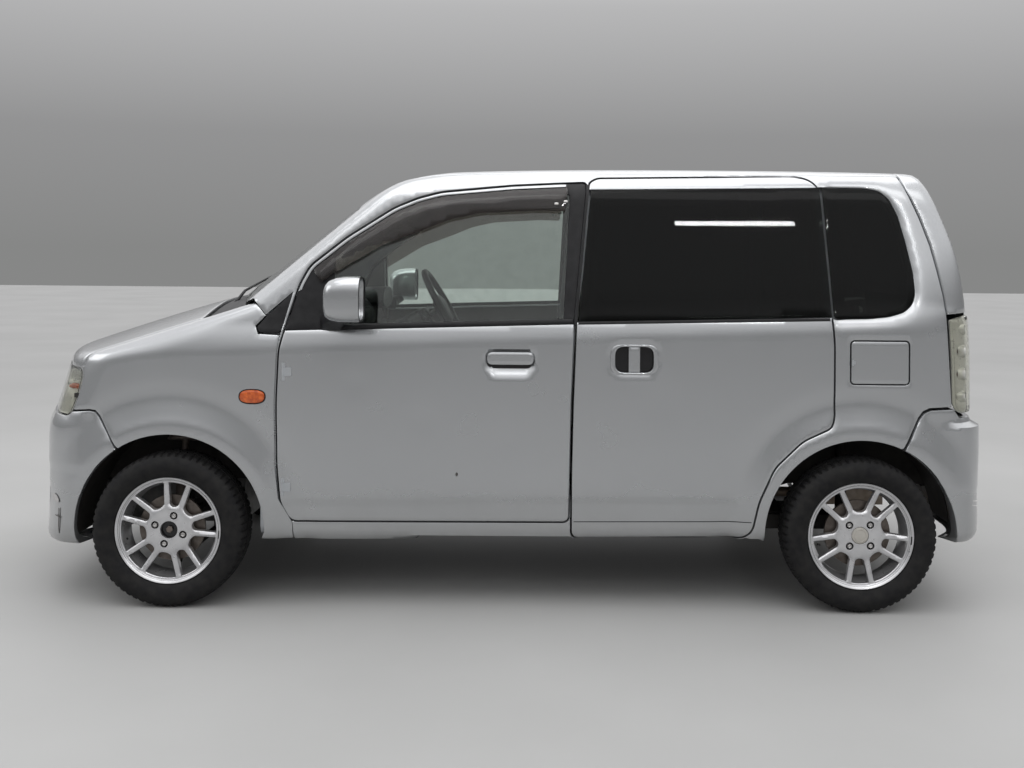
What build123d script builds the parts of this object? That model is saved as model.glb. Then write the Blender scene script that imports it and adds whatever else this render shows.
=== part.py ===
from build123d import *
import os
from math import cos, radians, sin

os.makedirs("parts", exist_ok=True)

# Kei car, unladen, standing on its wheels.  Millimetres.
# +X points rearwards, +Y to the car's right, +Z up; the origin is on the ground,
# under the middle of the car.

# ---------------------------------------------------------------- driving sizes
length = 3395.0
width = 1475.0
height = 1530.0
wheelbase = 2340.0
front_overhang = 590.0
track = 1305.0
tyre_radius = 260.0
tyre_width = 155.0
rim_radius = 165.0
rim_flange_radius = 180.0
hub_bore_radius = 29.0
lug_circle_radius = 50.0
lug_radius = 9.0
spoke_pairs = 5
arch_radius = 325.0
arch_depth = 305.0
flare_radius = 440.0
flare_width = 11.0
flare_low_z = 240.0
wall = 58.0
roof_thickness = 32.0
skin = 22.0
panel_gap = 9.0
seal_gap = 5.0
frame_inset = 40.0
jamb_gap = 12.0
glass_thickness = 5.0
pin_radius = 5.0
pin_clearance = 0.05
seat_gap = 0.3
floor_height = 230.0
floor_thickness = 16.0
hinge_depth = 20.0
hinge_setback = 22.0

front_axle_x = -length / 2 + front_overhang
rear_axle_x = front_axle_x + wheelbase
axle_z = tyre_radius
wheel_y = track / 2
half_width = width / 2 - flare_width
nose_x = -length / 2
tail_x = length / 2

WHEELS = (
    # name, axle x, side of the car, cap on the hub bore, turn of the spokes in degrees
    ("front_left", front_axle_x, -1, False, 10.0),
    ("front_right", front_axle_x, 1, True, 24.0),
    ("rear_left", rear_axle_x, -1, True, 35.4),
    ("rear_right", rear_axle_x, 1, True, 52.0),
)


# ---------------------------------------------------------------- cutting shapes
def side_prism(points, clearance=0.0, near=300.0, far=900.0):
    """Prism of an outline in X and Z, standing out to the car's left."""
    with BuildPart() as prism:
        with BuildSketch(Plane.XZ.offset(near)):
            with BuildLine():
                Polyline(*points, close=True)
            make_face()
            if clearance:
                offset(amount=clearance, kind=Kind.INTERSECTION)
        extrude(amount=far - near)
    return prism.part


def block(low, high):
    """Box between two corners."""
    with BuildPart() as box:
        with Locations([tuple((a + b) / 2 for a, b in zip(low, high))]):
            Box(*(b - a for a, b in zip(low, high)))
    return box.part


def rod(start, end, radius, bore=0.0):
    """Round bar between two points, hollow where it has a bore."""
    axis = Vector(*end) - Vector(*start)
    with BuildPart() as bar:
        with BuildSketch(Plane(origin=start, z_dir=axis)):
            Circle(radius)
            if bore:
                Circle(bore, mode=Mode.SUBTRACT)
        extrude(amount=axis.length)
    return bar.part


def wheel_disc(axle_x, radius, near, far):
    """Cylinder about a left wheel's axle, from one width to another."""
    with BuildPart() as disc:
        with BuildSketch(Plane.XZ.offset(near)):
            with Locations((axle_x, axle_z)):
                Circle(radius)
        extrude(amount=far - near)
    return disc.part


def to_right(shape):
    """The same shape on the car's right."""
    with BuildPart() as other:
        mirror(shape, about=Plane.XZ)
    return other.part


def both_sides(shape):
    """A shape on the car's left with its like on the right."""
    with BuildPart() as pair:
        add(shape)
        mirror(shape, about=Plane.XZ)
    return pair.part


def common(*shapes):
    """What several shapes have in common."""
    with BuildPart() as shared:
        add(shapes[0])
        for shape in shapes[1:]:
            add(shape, mode=Mode.INTERSECT)
    return shared.part


def without(shape, *others):
    """A shape with others taken away."""
    with BuildPart() as rest:
        add(shape)
        for other in others:
            add(other, mode=Mode.SUBTRACT)
    return rest.part


# ---------------------------------------------------------------- envelope of the body
bonnet_lip = (nose_x + 108, 846.0)
bonnet_top = (-1003.0, 1034.0)
screen_base = (-962.0, 1056.0)
screen_top = (-645.0, 1312.0)
screen_sweep = 123.0
screen_foot_sweep = 137.0


def side_outline():
    """Outline of the body on its centre plane, in X and Z."""
    with BuildSketch(Plane.XZ) as sketch:
        with BuildLine():
            Polyline((nose_x + 57, 173), (nose_x + 17, 260))
            ThreePointArc((nose_x + 17, 260), (nose_x, 430), (nose_x + 8, 620))
            Line((nose_x + 8, 620), (nose_x + 57, 790))
            ThreePointArc((nose_x + 57, 790), (nose_x + 73, 822), bonnet_lip)
            ThreePointArc(bonnet_lip, (-1284, 957), bonnet_top)
            Polyline(bonnet_top, screen_base, screen_top)
            ThreePointArc(screen_top, (-430, 1427), (-160, 1497))
            ThreePointArc((-160, 1497), (646, height), (1440, 1512))
            ThreePointArc((1440, 1512), (1468, 1500), (1484, 1470))
            ThreePointArc((1484, 1470), (1586, 1180), (1648, 870))
            Polyline((1648, 870), (1655, 662), (1681, 642))
            ThreePointArc((1681, 642), (tail_x, 497), (tail_x - 11, 330))
            Polyline((tail_x - 11, 330), (1652, 228), (1400, 228), (830, 238), (-740, 220),
                     (-1400, 200), (nose_x + 57, 173))
        make_face()
    return sketch.sketch_local


def plan_outline():
    """Outline of the body seen from above."""
    with BuildSketch(Plane.XY) as sketch:
        with BuildLine():
            ThreePointArc((nose_x, 0), (nose_x + 32, -330), (nose_x + 105, -520))
            ThreePointArc((nose_x + 105, -520), (nose_x + 172, -632), (-1415, -694))
            ThreePointArc((-1415, -694), (-1100, -718), (-740, -half_width))
            Line((-740, -half_width), (1250, -half_width))
            ThreePointArc((1250, -half_width), (1420, -718), (1560, -680))
            ThreePointArc((1560, -680), (1622, -630), (1660, -540))
            ThreePointArc((1660, -540), (tail_x - 9, -280), (tail_x, 0))
            mirror(about=Plane.XZ)
        make_face()
    return sketch.sketch_local


def cross_outline():
    """Outline of the body seen from the front, in Y and Z."""
    with BuildSketch(Plane.YZ) as sketch:
        with BuildLine():
            Polyline((0, 150), (-640, 150), (-706, 215))
            ThreePointArc((-706, 215), (-half_width + 1, 520), (-half_width + 6, 860))
            ThreePointArc((-half_width + 6, 860), (-712, 925), (-694, 985))
            Line((-694, 985), (-613, 1392))
            ThreePointArc((-613, 1392), (-576, 1464), (-490, 1508))
            ThreePointArc((-490, 1508), (-250, 1526), (0, height))
            mirror(about=Plane.YZ)
        make_face()
    return sketch.sketch_local


def prism_of(outline, plane, reach, depth):
    """Prism of one of the body's outlines, moved in by a depth."""
    with BuildPart() as prism:
        with BuildSketch(plane):
            add(outline())
            if depth:
                offset(amount=-depth, kind=Kind.ARC)
        extrude(amount=reach, both=True)
    return prism.part


def nose_outline():
    """Crowned outline of the nose, seen along the slope of the bonnet."""
    with BuildSketch() as sketch:
        with BuildLine():
            ThreePointArc((-650, -52), (0, 14), (650, -52))
            ThreePointArc((650, -52), (698, -84), (725, -150))
            Polyline((725, -150), (740, -1400), (-740, -1400), (-725, -150))
            ThreePointArc((-725, -150), (-698, -84), (-650, -52))
        make_face()
    return sketch.sketch_local


def screen_outline():
    """Curved outline of the cabin's front, seen along the slope of the windscreen."""
    with BuildSketch() as sketch:
        with BuildLine():
            ThreePointArc((-800, -screen_sweep), (0, 0), (800, -screen_sweep))
            Polyline((800, -screen_sweep), (800, -2600), (-800, -2600), (-800, -screen_sweep))
        make_face()
    return sketch.sketch_local


def screen_foot(side):
    """Space before (-1) or behind (1) the curved foot of the windscreen."""
    with BuildPart() as space:
        with BuildSketch():
            with BuildLine():
                ThreePointArc((screen_base[0] + screen_foot_sweep, -800), (screen_base[0], 0),
                              (screen_base[0] + screen_foot_sweep, 800))
                Polyline((screen_base[0] + screen_foot_sweep, 800), (side * length, 800), (side * length, -800),
                         (screen_base[0] + screen_foot_sweep, -800))
            make_face()
        extrude(amount=2 * height)
    return space.part


def envelope(depth):
    """The body's closed outer shape, or the same shape moved in by a depth."""
    nose_plane = Plane(origin=(bonnet_top[0], 0, bonnet_top[1]), x_dir=(0, 1, 0),
                       z_dir=(bonnet_top[0] - bonnet_lip[0], 0, bonnet_top[1] - bonnet_lip[1]))
    screen_plane = Plane(origin=(screen_base[0], 0, screen_base[1]), x_dir=(0, 1, 0),
                         z_dir=(screen_top[0] - screen_base[0], 0, screen_top[1] - screen_base[1]))
    with BuildPart() as body:
        add(prism_of(side_outline, Plane.XZ, width, depth))
        add(prism_of(plan_outline, Plane.XY, 2 * height, depth), mode=Mode.INTERSECT)
        add(prism_of(cross_outline, Plane.YZ, length, depth), mode=Mode.INTERSECT)
    nose = common(body.part, screen_foot(-1), prism_of(nose_outline, nose_plane, length, depth))
    cabin = common(body.part, screen_foot(1), prism_of(screen_outline, screen_plane, length, depth))
    with BuildPart() as whole:
        add(nose)
        add(cabin)
    return whole.part


def arch_flares():
    """Soft rings round the four wheel openings, from the side panels out to the full width."""
    with BuildPart() as rings:
        for axle_x in (front_axle_x, rear_axle_x):
            with BuildSketch(Plane(origin=(axle_x, 0, axle_z), x_dir=(0, 0, 1), z_dir=(1, 0, 0))):
                with BuildLine():
                    Polyline((arch_radius - 5, half_width - skin), (flare_radius, half_width - skin),
                             (flare_radius, half_width - 2), (arch_radius + 33, width / 2),
                             (arch_radius - 5, width / 2 - 2), close=True)
                make_face()
            revolve(axis=Axis((axle_x, 0, axle_z), (0, 1, 0)))
        mirror(about=Plane.XZ)
        with Locations((0, 0, flare_low_z - height)):
            Box(2 * length, 2 * width, 2 * height, mode=Mode.SUBTRACT)
        add(envelope(-flare_width), mode=Mode.INTERSECT)
    return rings.part


def arch_openings():
    """The four round openings that the wheels stand in."""
    with BuildPart() as rooms:
        for axle_x in (front_axle_x, rear_axle_x):
            add(wheel_disc(axle_x, arch_radius, wheel_y + tyre_width / 2 - arch_depth, width))
        mirror(about=Plane.XZ)
    return rooms.part


wheel_rooms = arch_openings()
plain_body = envelope(0)
with BuildPart() as flared_body:
    add(plain_body)
    add(arch_flares())
    add(wheel_rooms, mode=Mode.SUBTRACT)
outer_body = flared_body.part
glass_body = envelope(glass_thickness)
skin_body = envelope(skin)
jamb_body = envelope(skin + seal_gap)
inner_body = envelope(wall)
pane_body = envelope(skin + glass_thickness)
panel_layer = without(outer_body, skin_body)
frame_layer = without(skin_body, inner_body)
jamb_layer = without(jamb_body, inner_body)
whole_shell = without(outer_body, inner_body)
pane_layer = without(skin_body, pane_body)
flush_layer = without(outer_body, glass_body)


# ---------------------------------------------------------------- hinges
hinge_length = 60.0
knuckle_radius = 9.0
leaf_width = 16.0


def fixed_hinge(place, reach, share=1.0):
    """Pin, two knuckles and an arm that reaches inwards; place has X to the panel, Z on the pin."""
    length_here = hinge_length * share
    with BuildPart() as leaf:
        with BuildSketch(place.offset(-length_here / 2)):
            Circle(pin_radius * share)
        extrude(amount=length_here)
        for low in (-length_here / 2, length_here / 4 + share):
            with BuildSketch(place.offset(low)):
                Circle(knuckle_radius * share)
                with Locations((0, -reach / 2)):
                    Rectangle(leaf_width * share, reach)
            extrude(amount=length_here / 4 - share)
    return leaf.part


def moving_hinge(place, reach, share=1.0):
    """Barrel round the pin with a tongue to the panel."""
    length_here = hinge_length * share
    with BuildPart() as leaf:
        with BuildSketch(place.offset(-length_here / 4 + share)):
            Circle(knuckle_radius * share)
            with Locations((reach / 2, 0)):
                Rectangle(reach, knuckle_radius * 2 * share)
            Circle(pin_radius * share + pin_clearance, mode=Mode.SUBTRACT)
        extrude(amount=length_here / 2 - 2 * share)
    return leaf.part


def hinge_pocket(place, size, setback, share=1.0):
    """Room that a panel's edge leaves round a hinge, open inwards."""
    length_here = hinge_length * share
    with BuildPart() as room:
        with BuildSketch(place.offset(-length_here / 2 - seal_gap)):
            with Locations((-3 * share, -size / 2 + (knuckle_radius + 2) * share)):
                Rectangle(2 * setback + 2, size)
        extrude(amount=length_here + 2 * seal_gap)
    return room.part


def export(piece, node):
    """Write one finished piece under its node's name."""
    piece.label = node
    export_step(piece, f"parts/{node}.step")


# ---------------------------------------------------------------- outlines seen from the side
front_door_outline = (
    (-693, 295), (-727, 357), (-741, 493), (-744, 700), (-738, 872), (-725, 926), (-677, 1092),
    (-644, 1156), (-523, 1254), (-363, 1358), (-283, 1392), (-202, 1414), (45, 1439), (208, 1448),
    (297, 1452), (300, 1429), (258, 967), (249, 700), (246, 460), (244, 299),
)
front_window_outline = (
    (-560, 950), (225, 972), (250, 1395), (45, 1390), (-202, 1366), (-283, 1345), (-363, 1311),
    (-480, 1236), (-560, 1172), (-610, 1112),
)
rear_door_outline = (
    (256, 242), (833, 250), (863, 276), (884, 374), (937, 491), (1031, 582), (1127, 627), (1137, 660),
    (1137, 908), (1130, 990), (1108, 1438), (1078, 1470), (1030, 1481), (338, 1468), (312, 1452),
    (310, 1429), (268, 967), (259, 700), (255, 460),
)
rear_window_outline = (
    (330, 985), (1075, 1005), (1056, 1425), (366, 1412),
)
quarter_window_outline = (
    (1195, 1010), (1300, 1012), (1380, 1036), (1404, 1070), (1388, 1200), (1352, 1350), (1320, 1410),
    (1270, 1425), (1172, 1425),
)

fender_outline = (
    (-684, 180), (-690, 290), (-735, 370), (-750, 493), (-753, 700), (-747, 872), (-734, 926), (-700, 1060),
    (-790, 1000), (-850, 1046), (-900, 1200), (-1395, 1200), (-1395, 819),
    (-1376, 800), (-1376, 760), (-1418, 660), (-1363, 657), (-1309, 594), (-1260, 540), (-1107, 300),
    (-800, 180),
)
front_bumper_outline = (
    (-1800, 100), (-1800, 664), (-1368, 664), (-1316, 601), (-1268, 545), (-1107, 300), (-1380, 100),
)
headlamp_outline = (
    (-1600, 668), (-1428, 668), (-1386, 762), (-1386, 798), (-1402, 814), (-1502, 822), (-1600, 822),
)
rear_bumper_outline = (
    (1800, 100), (1800, 660), (1560, 660), (1535, 690), (1455, 690), (1424, 668), (1365, 565), (1232, 300),
    (1480, 100),
)
tail_lamp_outline = (
    (1528, 699), (1560, 669), (1700, 669), (1700, 1010), (1524, 1010),
)
tailgate_outline = (
    (1402, 1560), (1413, 1440), (1454, 1337), (1483, 1247), (1503, 1157), (1517, 1072), (1519, 1010),
    (1519, 669), (1800, 669), (1800, 1560),
)
lamp_inner_y = 600.0
roof_half_width = 548.0
shell_inner_y = 540.0
door_inner_y = roof_half_width + seal_gap
sill_room_y = 664.0
sill_room_z = 420.0

# ---------------------------------------------------------------- hinge places
front_hinge_x = front_door_outline[3][0] + hinge_setback
rear_hinge_x = rear_door_outline[17][0] + hinge_setback
side_hinge_y = half_width - hinge_depth
door_hinge_heights = (410.0, 800.0)


def side_hinge_plane(x, z):
    """Plane of a door hinge on the left: X to the door, Y outwards, Z on the pin."""
    return Plane(origin=(x, -side_hinge_y, z), x_dir=(1, 0, 0), z_dir=(0, 0, -1))


def hinge_groove(x, low, high):
    """Room in the pillar for the front edge of a door that swings."""
    reach = (hinge_setback ** 2 + hinge_depth ** 2) ** 0.5 + seal_gap + 1
    return rod((x, -side_hinge_y, low), (x, -side_hinge_y, high), reach)


def edge_groove(x, z, rise):
    """Room across the car for the edge of a lid whose skin is a little above its pins."""
    reach = (hinge_setback ** 2 + rise ** 2) ** 0.5 + seal_gap + 1
    return rod((x, -width, z), (x, width, z), reach)


# ---------------------------------------------------------------- side doors
def door(outline, window, hinge_x, sliding=False):
    """Left door: outer panel and inner frame with a window opening; hinge barrels if it swings."""
    with BuildPart() as whole:
        add(common(panel_layer, side_prism(outline, near=door_inner_y)))
        add(common(frame_layer, side_prism(outline, -frame_inset, near=door_inner_y)))
        add(block((-length, -sill_room_y, 0), (length, 0, sill_room_z)), mode=Mode.SUBTRACT)
        add(side_prism(window), mode=Mode.SUBTRACT)
        if not sliding:
            for z in door_hinge_heights:
                place = side_hinge_plane(hinge_x, z)
                add(hinge_pocket(place, wall, hinge_setback), mode=Mode.SUBTRACT)
                add(moving_hinge(place, hinge_setback + 6))
    return whole.part


def door_glass(window):
    """Pane just inside the outer panel of a left door."""
    return common(pane_layer, side_prism(window))


front_door = door(front_door_outline, front_window_outline, front_hinge_x)
rear_door = door(rear_door_outline, rear_window_outline, rear_hinge_x)
sliding_door = door(rear_door_outline, rear_window_outline, rear_hinge_x, sliding=True)
front_glass = door_glass(front_window_outline)
rear_glass = door_glass(rear_window_outline)
export(front_door, "front_door_left")
export(to_right(front_door), "front_door_right")
export(to_right(rear_door), "rear_door_right")
export(sliding_door, "sliding_door_left")
export(front_glass, "front_door_glass_left")
export(to_right(front_glass), "front_door_glass_right")
export(to_right(rear_glass), "rear_door_glass_right")
export(rear_glass, "sliding_door_glass_left")


# ---------------------------------------------------------------- tailgate and its opening
def gate_region(clearance):
    """Space behind the car that the tailgate takes, wider above the lamps."""
    with BuildPart() as region:
        with BuildSketch(Plane.XZ):
            with BuildLine():
                Polyline(*tailgate_outline, close=True)
            make_face()
            if clearance:
                offset(amount=clearance, kind=Kind.INTERSECTION)
        extrude(amount=width, both=True)
        with BuildSketch(Plane.YZ):
            with BuildLine():
                Polyline((0, 669), (-lamp_inner_y + panel_gap, 669), (-lamp_inner_y + panel_gap, 1010 + panel_gap),
                         (-width, 1010 + panel_gap), (-width, 1600), (0, 1600))
                mirror(about=Plane.YZ)
            make_face()
            if clearance:
                offset(amount=clearance, kind=Kind.INTERSECTION)
        extrude(amount=length, mode=Mode.INTERSECT)
    return region.part


gate_hinge_x = tailgate_outline[0][0] + hinge_setback
gate_hinge_z = 1514.0 - hinge_depth
gate_hinge_y = 360.0


def gate_hinge_plane(y):
    """Plane of a tailgate hinge: X to the panel, Y upwards, Z on the pin."""
    return Plane(origin=(gate_hinge_x, y, gate_hinge_z), x_dir=(1, 0, 0), z_dir=(0, -1, 0))


def rear_window(clearance=0.0):
    """Prism of the tailgate's window opening."""
    with BuildPart() as prism:
        with BuildSketch(Plane.YZ.offset(1300)):
            with BuildLine():
                Polyline((0, 1035), (-560, 1035), (-575, 1060), (-520, 1400), (-500, 1425), (0, 1440))
                mirror(about=Plane.YZ)
            make_face()
            if clearance:
                offset(amount=clearance, kind=Kind.INTERSECTION)
        extrude(amount=500)
    return prism.part


gate_room = gate_region(panel_gap)
gate_rooms = (without(gate_room, jamb_body), gate_region(jamb_gap - frame_inset))
with BuildPart() as tailgate:
    add(common(panel_layer, gate_region(0)))
    add(common(frame_layer, gate_region(-frame_inset)))
    add(rear_window(), mode=Mode.SUBTRACT)
    for y in (-gate_hinge_y, gate_hinge_y):
        add(hinge_pocket(gate_hinge_plane(y), wall, hinge_setback), mode=Mode.SUBTRACT)
        add(moving_hinge(gate_hinge_plane(y), hinge_setback + 6))
export(tailgate.part, "tailgate")

export(common(pane_layer, rear_window()), "tailgate_glass")

# ---------------------------------------------------------------- bonnet
bonnet_side_y = 650.0
bonnet_rear_x = -1010.0
bonnet_front_z = 826.0
bonnet_hinge_x = bonnet_rear_x - hinge_setback
bonnet_hinge_z = 1031.0 - hinge_depth - 6
bonnet_hinge_y = 300.0


def bonnet_region(clearance):
    """Space over the engine that the bonnet takes."""
    with BuildPart() as region:
        with BuildSketch(Plane.XZ):
            with BuildLine():
                Polyline((-1800, bonnet_front_z), (-1420, bonnet_front_z), (-1400, 700), (bonnet_rear_x, 700),
                         (bonnet_rear_x, 1300), (-1800, 1300), close=True)
            make_face()
            if clearance:
                offset(amount=clearance, kind=Kind.INTERSECTION)
        extrude(amount=bonnet_side_y + clearance, both=True)
    return region.part


def bonnet_hinge_plane(y):
    """Plane of a bonnet hinge: X to the panel, Y upwards, Z on the pin."""
    return Plane(origin=(bonnet_hinge_x, y, bonnet_hinge_z), x_dir=(-1, 0, 0), z_dir=(0, 1, 0))


with BuildPart() as bonnet:
    add(common(panel_layer, bonnet_region(0)))
    for y in (-bonnet_hinge_y, bonnet_hinge_y):
        add(hinge_pocket(bonnet_hinge_plane(y), wall, hinge_setback), mode=Mode.SUBTRACT)
        add(moving_hinge(bonnet_hinge_plane(y), hinge_setback + 6))
export(bonnet.part, "bonnet")

# ---------------------------------------------------------------- outer shell that stays still
windscreen_outline = (
    (-955, 0), (-948, -200), (-925, -400), (-892, -560), (-870, -640), (-600, -578), (-500, -548),
    (-500, 0),
)
roof_outline = (
    (-500, 0), (-500, -roof_half_width), (1600, -roof_half_width), (1600, 0),
)
body_side_outline = (
    (-684, 180), (-690, 290), (-735, 370), (-750, 493), (-753, 700), (-747, 872), (-734, 926), (-700, 1060),
    (-790, 1000), (-850, 1046), (-900, 1200), (-500, 1600), (1800, 1600), (1800, 660), (1560, 660),
    (1535, 690), (1455, 690), (1424, 668), (1365, 565), (1232, 300), (1480, 100), (-684, 100),
)
pillar_outline = (
    (-800, 235), (-800, 985), (-690, 1070), (-640, 1070), (-640, 235),
)


def top_half(points, clearance=0.0):
    """Upright prism of a top-view outline and its mirror image."""
    with BuildPart() as prism:
        with BuildSketch(Plane.XY.offset(700)):
            with BuildLine():
                Polyline(*points)
                mirror(about=Plane.XZ)
            make_face()
            if clearance:
                offset(amount=clearance, kind=Kind.INTERSECTION)
        extrude(amount=900)
    return prism.part



def door_rooms(outline):
    """Shallow room for a door's outer panel and the opening for its frame."""
    return (
        without(side_prism(outline, panel_gap), jamb_body),
        side_prism(outline, jamb_gap - frame_inset),
    )


with BuildPart() as body_side:
    add(common(whole_shell, side_prism(body_side_outline, near=shell_inner_y)))
    add(common(jamb_layer, side_prism(pillar_outline, near=shell_inner_y)))
    for shape in (top_half(windscreen_outline), top_half(roof_outline),
                  *door_rooms(front_door_outline), *door_rooms(rear_door_outline),
                  *gate_rooms,
                  side_prism(quarter_window_outline), wheel_rooms,
                  common(side_prism(tail_lamp_outline, near=lamp_inner_y), panel_layer),
                  hinge_groove(front_hinge_x, 285, 935), hinge_groove(rear_hinge_x, 232, 960)):
        add(shape, mode=Mode.SUBTRACT)
plain_side = body_side.part

hinge_reach = 48.0
with BuildPart() as side_right:
    add(plain_side)
    for x in (front_hinge_x, rear_hinge_x):
        for z in door_hinge_heights:
            add(fixed_hinge(side_hinge_plane(x, z), hinge_reach))
fuel_flap_outline = ((1195, 775), (1390, 775), (1390, 918), (1195, 918))
fuel_flap_thickness = 10.0
flap_gap = 7.0
flap_hinge_share = 1 / 3
flap_hinge_offset = 3.5
flap_hinge_x = fuel_flap_outline[0][0] + flap_hinge_offset
flap_hinge_y = 722.0 - flap_hinge_offset
flap_hinge_z = 846.0
flap_hinge_plane = Plane(origin=(flap_hinge_x, -flap_hinge_y, flap_hinge_z), x_dir=(1, 0, 0), z_dir=(0, 0, -1))
with BuildPart() as side_left:
    add(plain_side)
    for z in door_hinge_heights:
        add(fixed_hinge(side_hinge_plane(front_hinge_x, z), hinge_reach))
    add(common(side_prism(fuel_flap_outline, flap_gap),
               panel_layer), mode=Mode.SUBTRACT)
    add(fixed_hinge(flap_hinge_plane, skin, flap_hinge_share))
export(side_left.part, "body_side_left")
export(to_right(side_right.part), "body_side_right")

gate_header_y = 420.0
gate_header_z = 1456.0
gate_header_front_x = 1372.0
header_sheet = 8.0
with BuildPart() as roof:
    add(common(without(outer_body, envelope(roof_thickness)), top_half(roof_outline)))
    for shape in (top_half(windscreen_outline), *gate_rooms,
                  edge_groove(gate_hinge_x, gate_hinge_z, 1514.0 - gate_hinge_z)):
        add(shape, mode=Mode.SUBTRACT)
    add(block((gate_header_front_x, -gate_header_y, gate_header_z - header_sheet),
              (gate_hinge_x + header_sheet, gate_header_y, gate_header_z)))
    add(block((gate_header_front_x, -gate_header_y, gate_header_z - header_sheet),
              (gate_header_front_x + header_sheet, gate_header_y, gate_hinge_z - header_sheet)))
    for y in (-gate_hinge_y, gate_hinge_y):
        add(fixed_hinge(gate_hinge_plane(y), gate_hinge_z - gate_header_z + header_sheet / 2))
export(roof.part, "roof")

export(common(flush_layer, top_half(windscreen_outline)), "windscreen")
quarter_pane = common(flush_layer, side_prism(quarter_window_outline))
export(both_sides(quarter_pane), "quarter_glass")

# ---------------------------------------------------------------- front panels, lamps and grille
bonnet_room = bonnet_region(panel_gap)
headlamp = without(common(panel_layer, side_prism(headlamp_outline, near=400)), bonnet_room)
export(both_sides(headlamp), "headlamps")
with BuildPart() as fender:
    add(common(panel_layer, side_prism(fender_outline, near=bonnet_side_y - 10)))
    for shape in (bonnet_room, side_prism(headlamp_outline, near=400), wheel_rooms,
                  side_prism(front_bumper_outline, near=0),
                  hinge_groove(front_hinge_x, 100, 935)):
        add(shape, mode=Mode.SUBTRACT)
export(both_sides(fender.part.solids().sort_by(SortBy.VOLUME)[-1]), "front_fenders")
grille = common(panel_layer, block((-1800, -400, 668), (-1500, 400, bonnet_front_z - panel_gap)))
export(grille, "grille")
air_intake = block((-1800, -380, 290), (-1500, 380, 420))
with BuildPart() as front_bumper:
    add(common(panel_layer, side_prism(front_bumper_outline, near=0)))
    mirror(about=Plane.XZ)
    add(air_intake, mode=Mode.SUBTRACT)
    add(block((-1620, -610, 100), (-1000, 610, 320)), mode=Mode.SUBTRACT)
    add(wheel_rooms, mode=Mode.SUBTRACT)
export(front_bumper.part, "front_bumper")
with BuildPart() as rear_bumper:
    add(common(panel_layer, side_prism(rear_bumper_outline, near=0)))
    mirror(about=Plane.XZ)
    for shape in (gate_room, wheel_rooms, block((1000, -610, 100), (1620, 610, 320))):
        add(shape, mode=Mode.SUBTRACT)
export(rear_bumper.part, "rear_bumper")
tail_lamp = without(common(panel_layer, side_prism(tail_lamp_outline, near=lamp_inner_y)), gate_room)
export(both_sides(tail_lamp), "tail_lamps")

cowl_outline = (
    (bonnet_rear_x + panel_gap, 0), (bonnet_rear_x + panel_gap, -640), (-870, -640), (-892, -560),
    (-925, -400), (-948, -200), (-955, 0),
)
bonnet_groove = edge_groove(bonnet_hinge_x, bonnet_hinge_z, 1034.0 - bonnet_hinge_z)
export(without(common(panel_layer, top_half(cowl_outline)), bonnet_groove), "cowl")

with BuildPart() as flap:
    add(common(without(outer_body, envelope(fuel_flap_thickness)), side_prism(fuel_flap_outline)))
    add(hinge_pocket(flap_hinge_plane, skin, flap_hinge_offset, flap_hinge_share), mode=Mode.SUBTRACT)
    add(moving_hinge(flap_hinge_plane, 8, flap_hinge_share))
export(flap.part, "fuel_flap")

# ---------------------------------------------------------------- floor, bulkhead and front frame
housing_radius = arch_radius + 6.0
housing_inner_y = wheel_y + tyre_width / 2 - arch_depth
bulkhead_x = -800.0
step_x = 760.0
boot_floor_z = 400.0
rail_y = 345.0
rail_low_z = 400.0


def wheel_housing(axle_x, outer_y):
    """Half-round liner over a left wheel, closed on its inner side."""
    with BuildPart() as liner:
        add(wheel_disc(axle_x, housing_radius + 4, housing_inner_y - 4, outer_y))
        add(wheel_disc(axle_x, housing_radius, housing_inner_y, outer_y + 1), mode=Mode.SUBTRACT)
        add(block((axle_x - 500, -900, -200), (axle_x + 500, 0, floor_height)), mode=Mode.SUBTRACT)
        add(block((axle_x - 330, -housing_inner_y - 1, 0), (axle_x + 330, 0, 380)), mode=Mode.SUBTRACT)
    return liner.part


def housing_room(axle_x):
    """Everything that a left wheel housing takes out of the floor."""
    return wheel_disc(axle_x, housing_radius + 4, housing_inner_y - 4, width)


tow_eye_radius = 14.0
tow_eye_half = 28.0
tow_eye_thickness = 12.0
tow_eye_drop = 40.0


def tow_eye(x, y, hung_from_z):
    """Level plate with a round upright hole, hung by one end from what is above it."""
    z = hung_from_z - tow_eye_drop
    end_x = x + tow_eye_half + tow_eye_thickness
    with BuildPart() as eye:
        add(block((x - tow_eye_half, y - tow_eye_half, z - tow_eye_thickness / 2),
                  (end_x, y + tow_eye_half, z + tow_eye_thickness / 2)))
        add(block((end_x - tow_eye_thickness, y - tow_eye_half, z), (end_x, y + tow_eye_half, hung_from_z)))
        add(rod((x, y, z - tow_eye_thickness), (x, y, z + tow_eye_thickness), tow_eye_radius), mode=Mode.SUBTRACT)
    return eye.part


sill_inner_y = 665.0
with BuildPart() as floor:
    add(common(block((step_x, -sill_inner_y, boot_floor_z), (1660, sill_inner_y, boot_floor_z + floor_thickness)),
               inner_body))
    add(block((bulkhead_x, -shell_inner_y, floor_height), (step_x, shell_inner_y, floor_height + floor_thickness)))
    add(block((step_x, -shell_inner_y, floor_height), (step_x + floor_thickness, shell_inner_y, boot_floor_z)))
    for room in (housing_room(rear_axle_x), housing_room(front_axle_x)):
        add(room, mode=Mode.SUBTRACT)
        mirror(room, about=Plane.XZ, mode=Mode.SUBTRACT)
    liner = common(wheel_housing(rear_axle_x, sill_inner_y), inner_body)
    add(liner)
    mirror(liner, about=Plane.XZ)
    add(tow_eye(1590, -306, boot_floor_z))
export(floor.part, "floor_pan")

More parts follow.
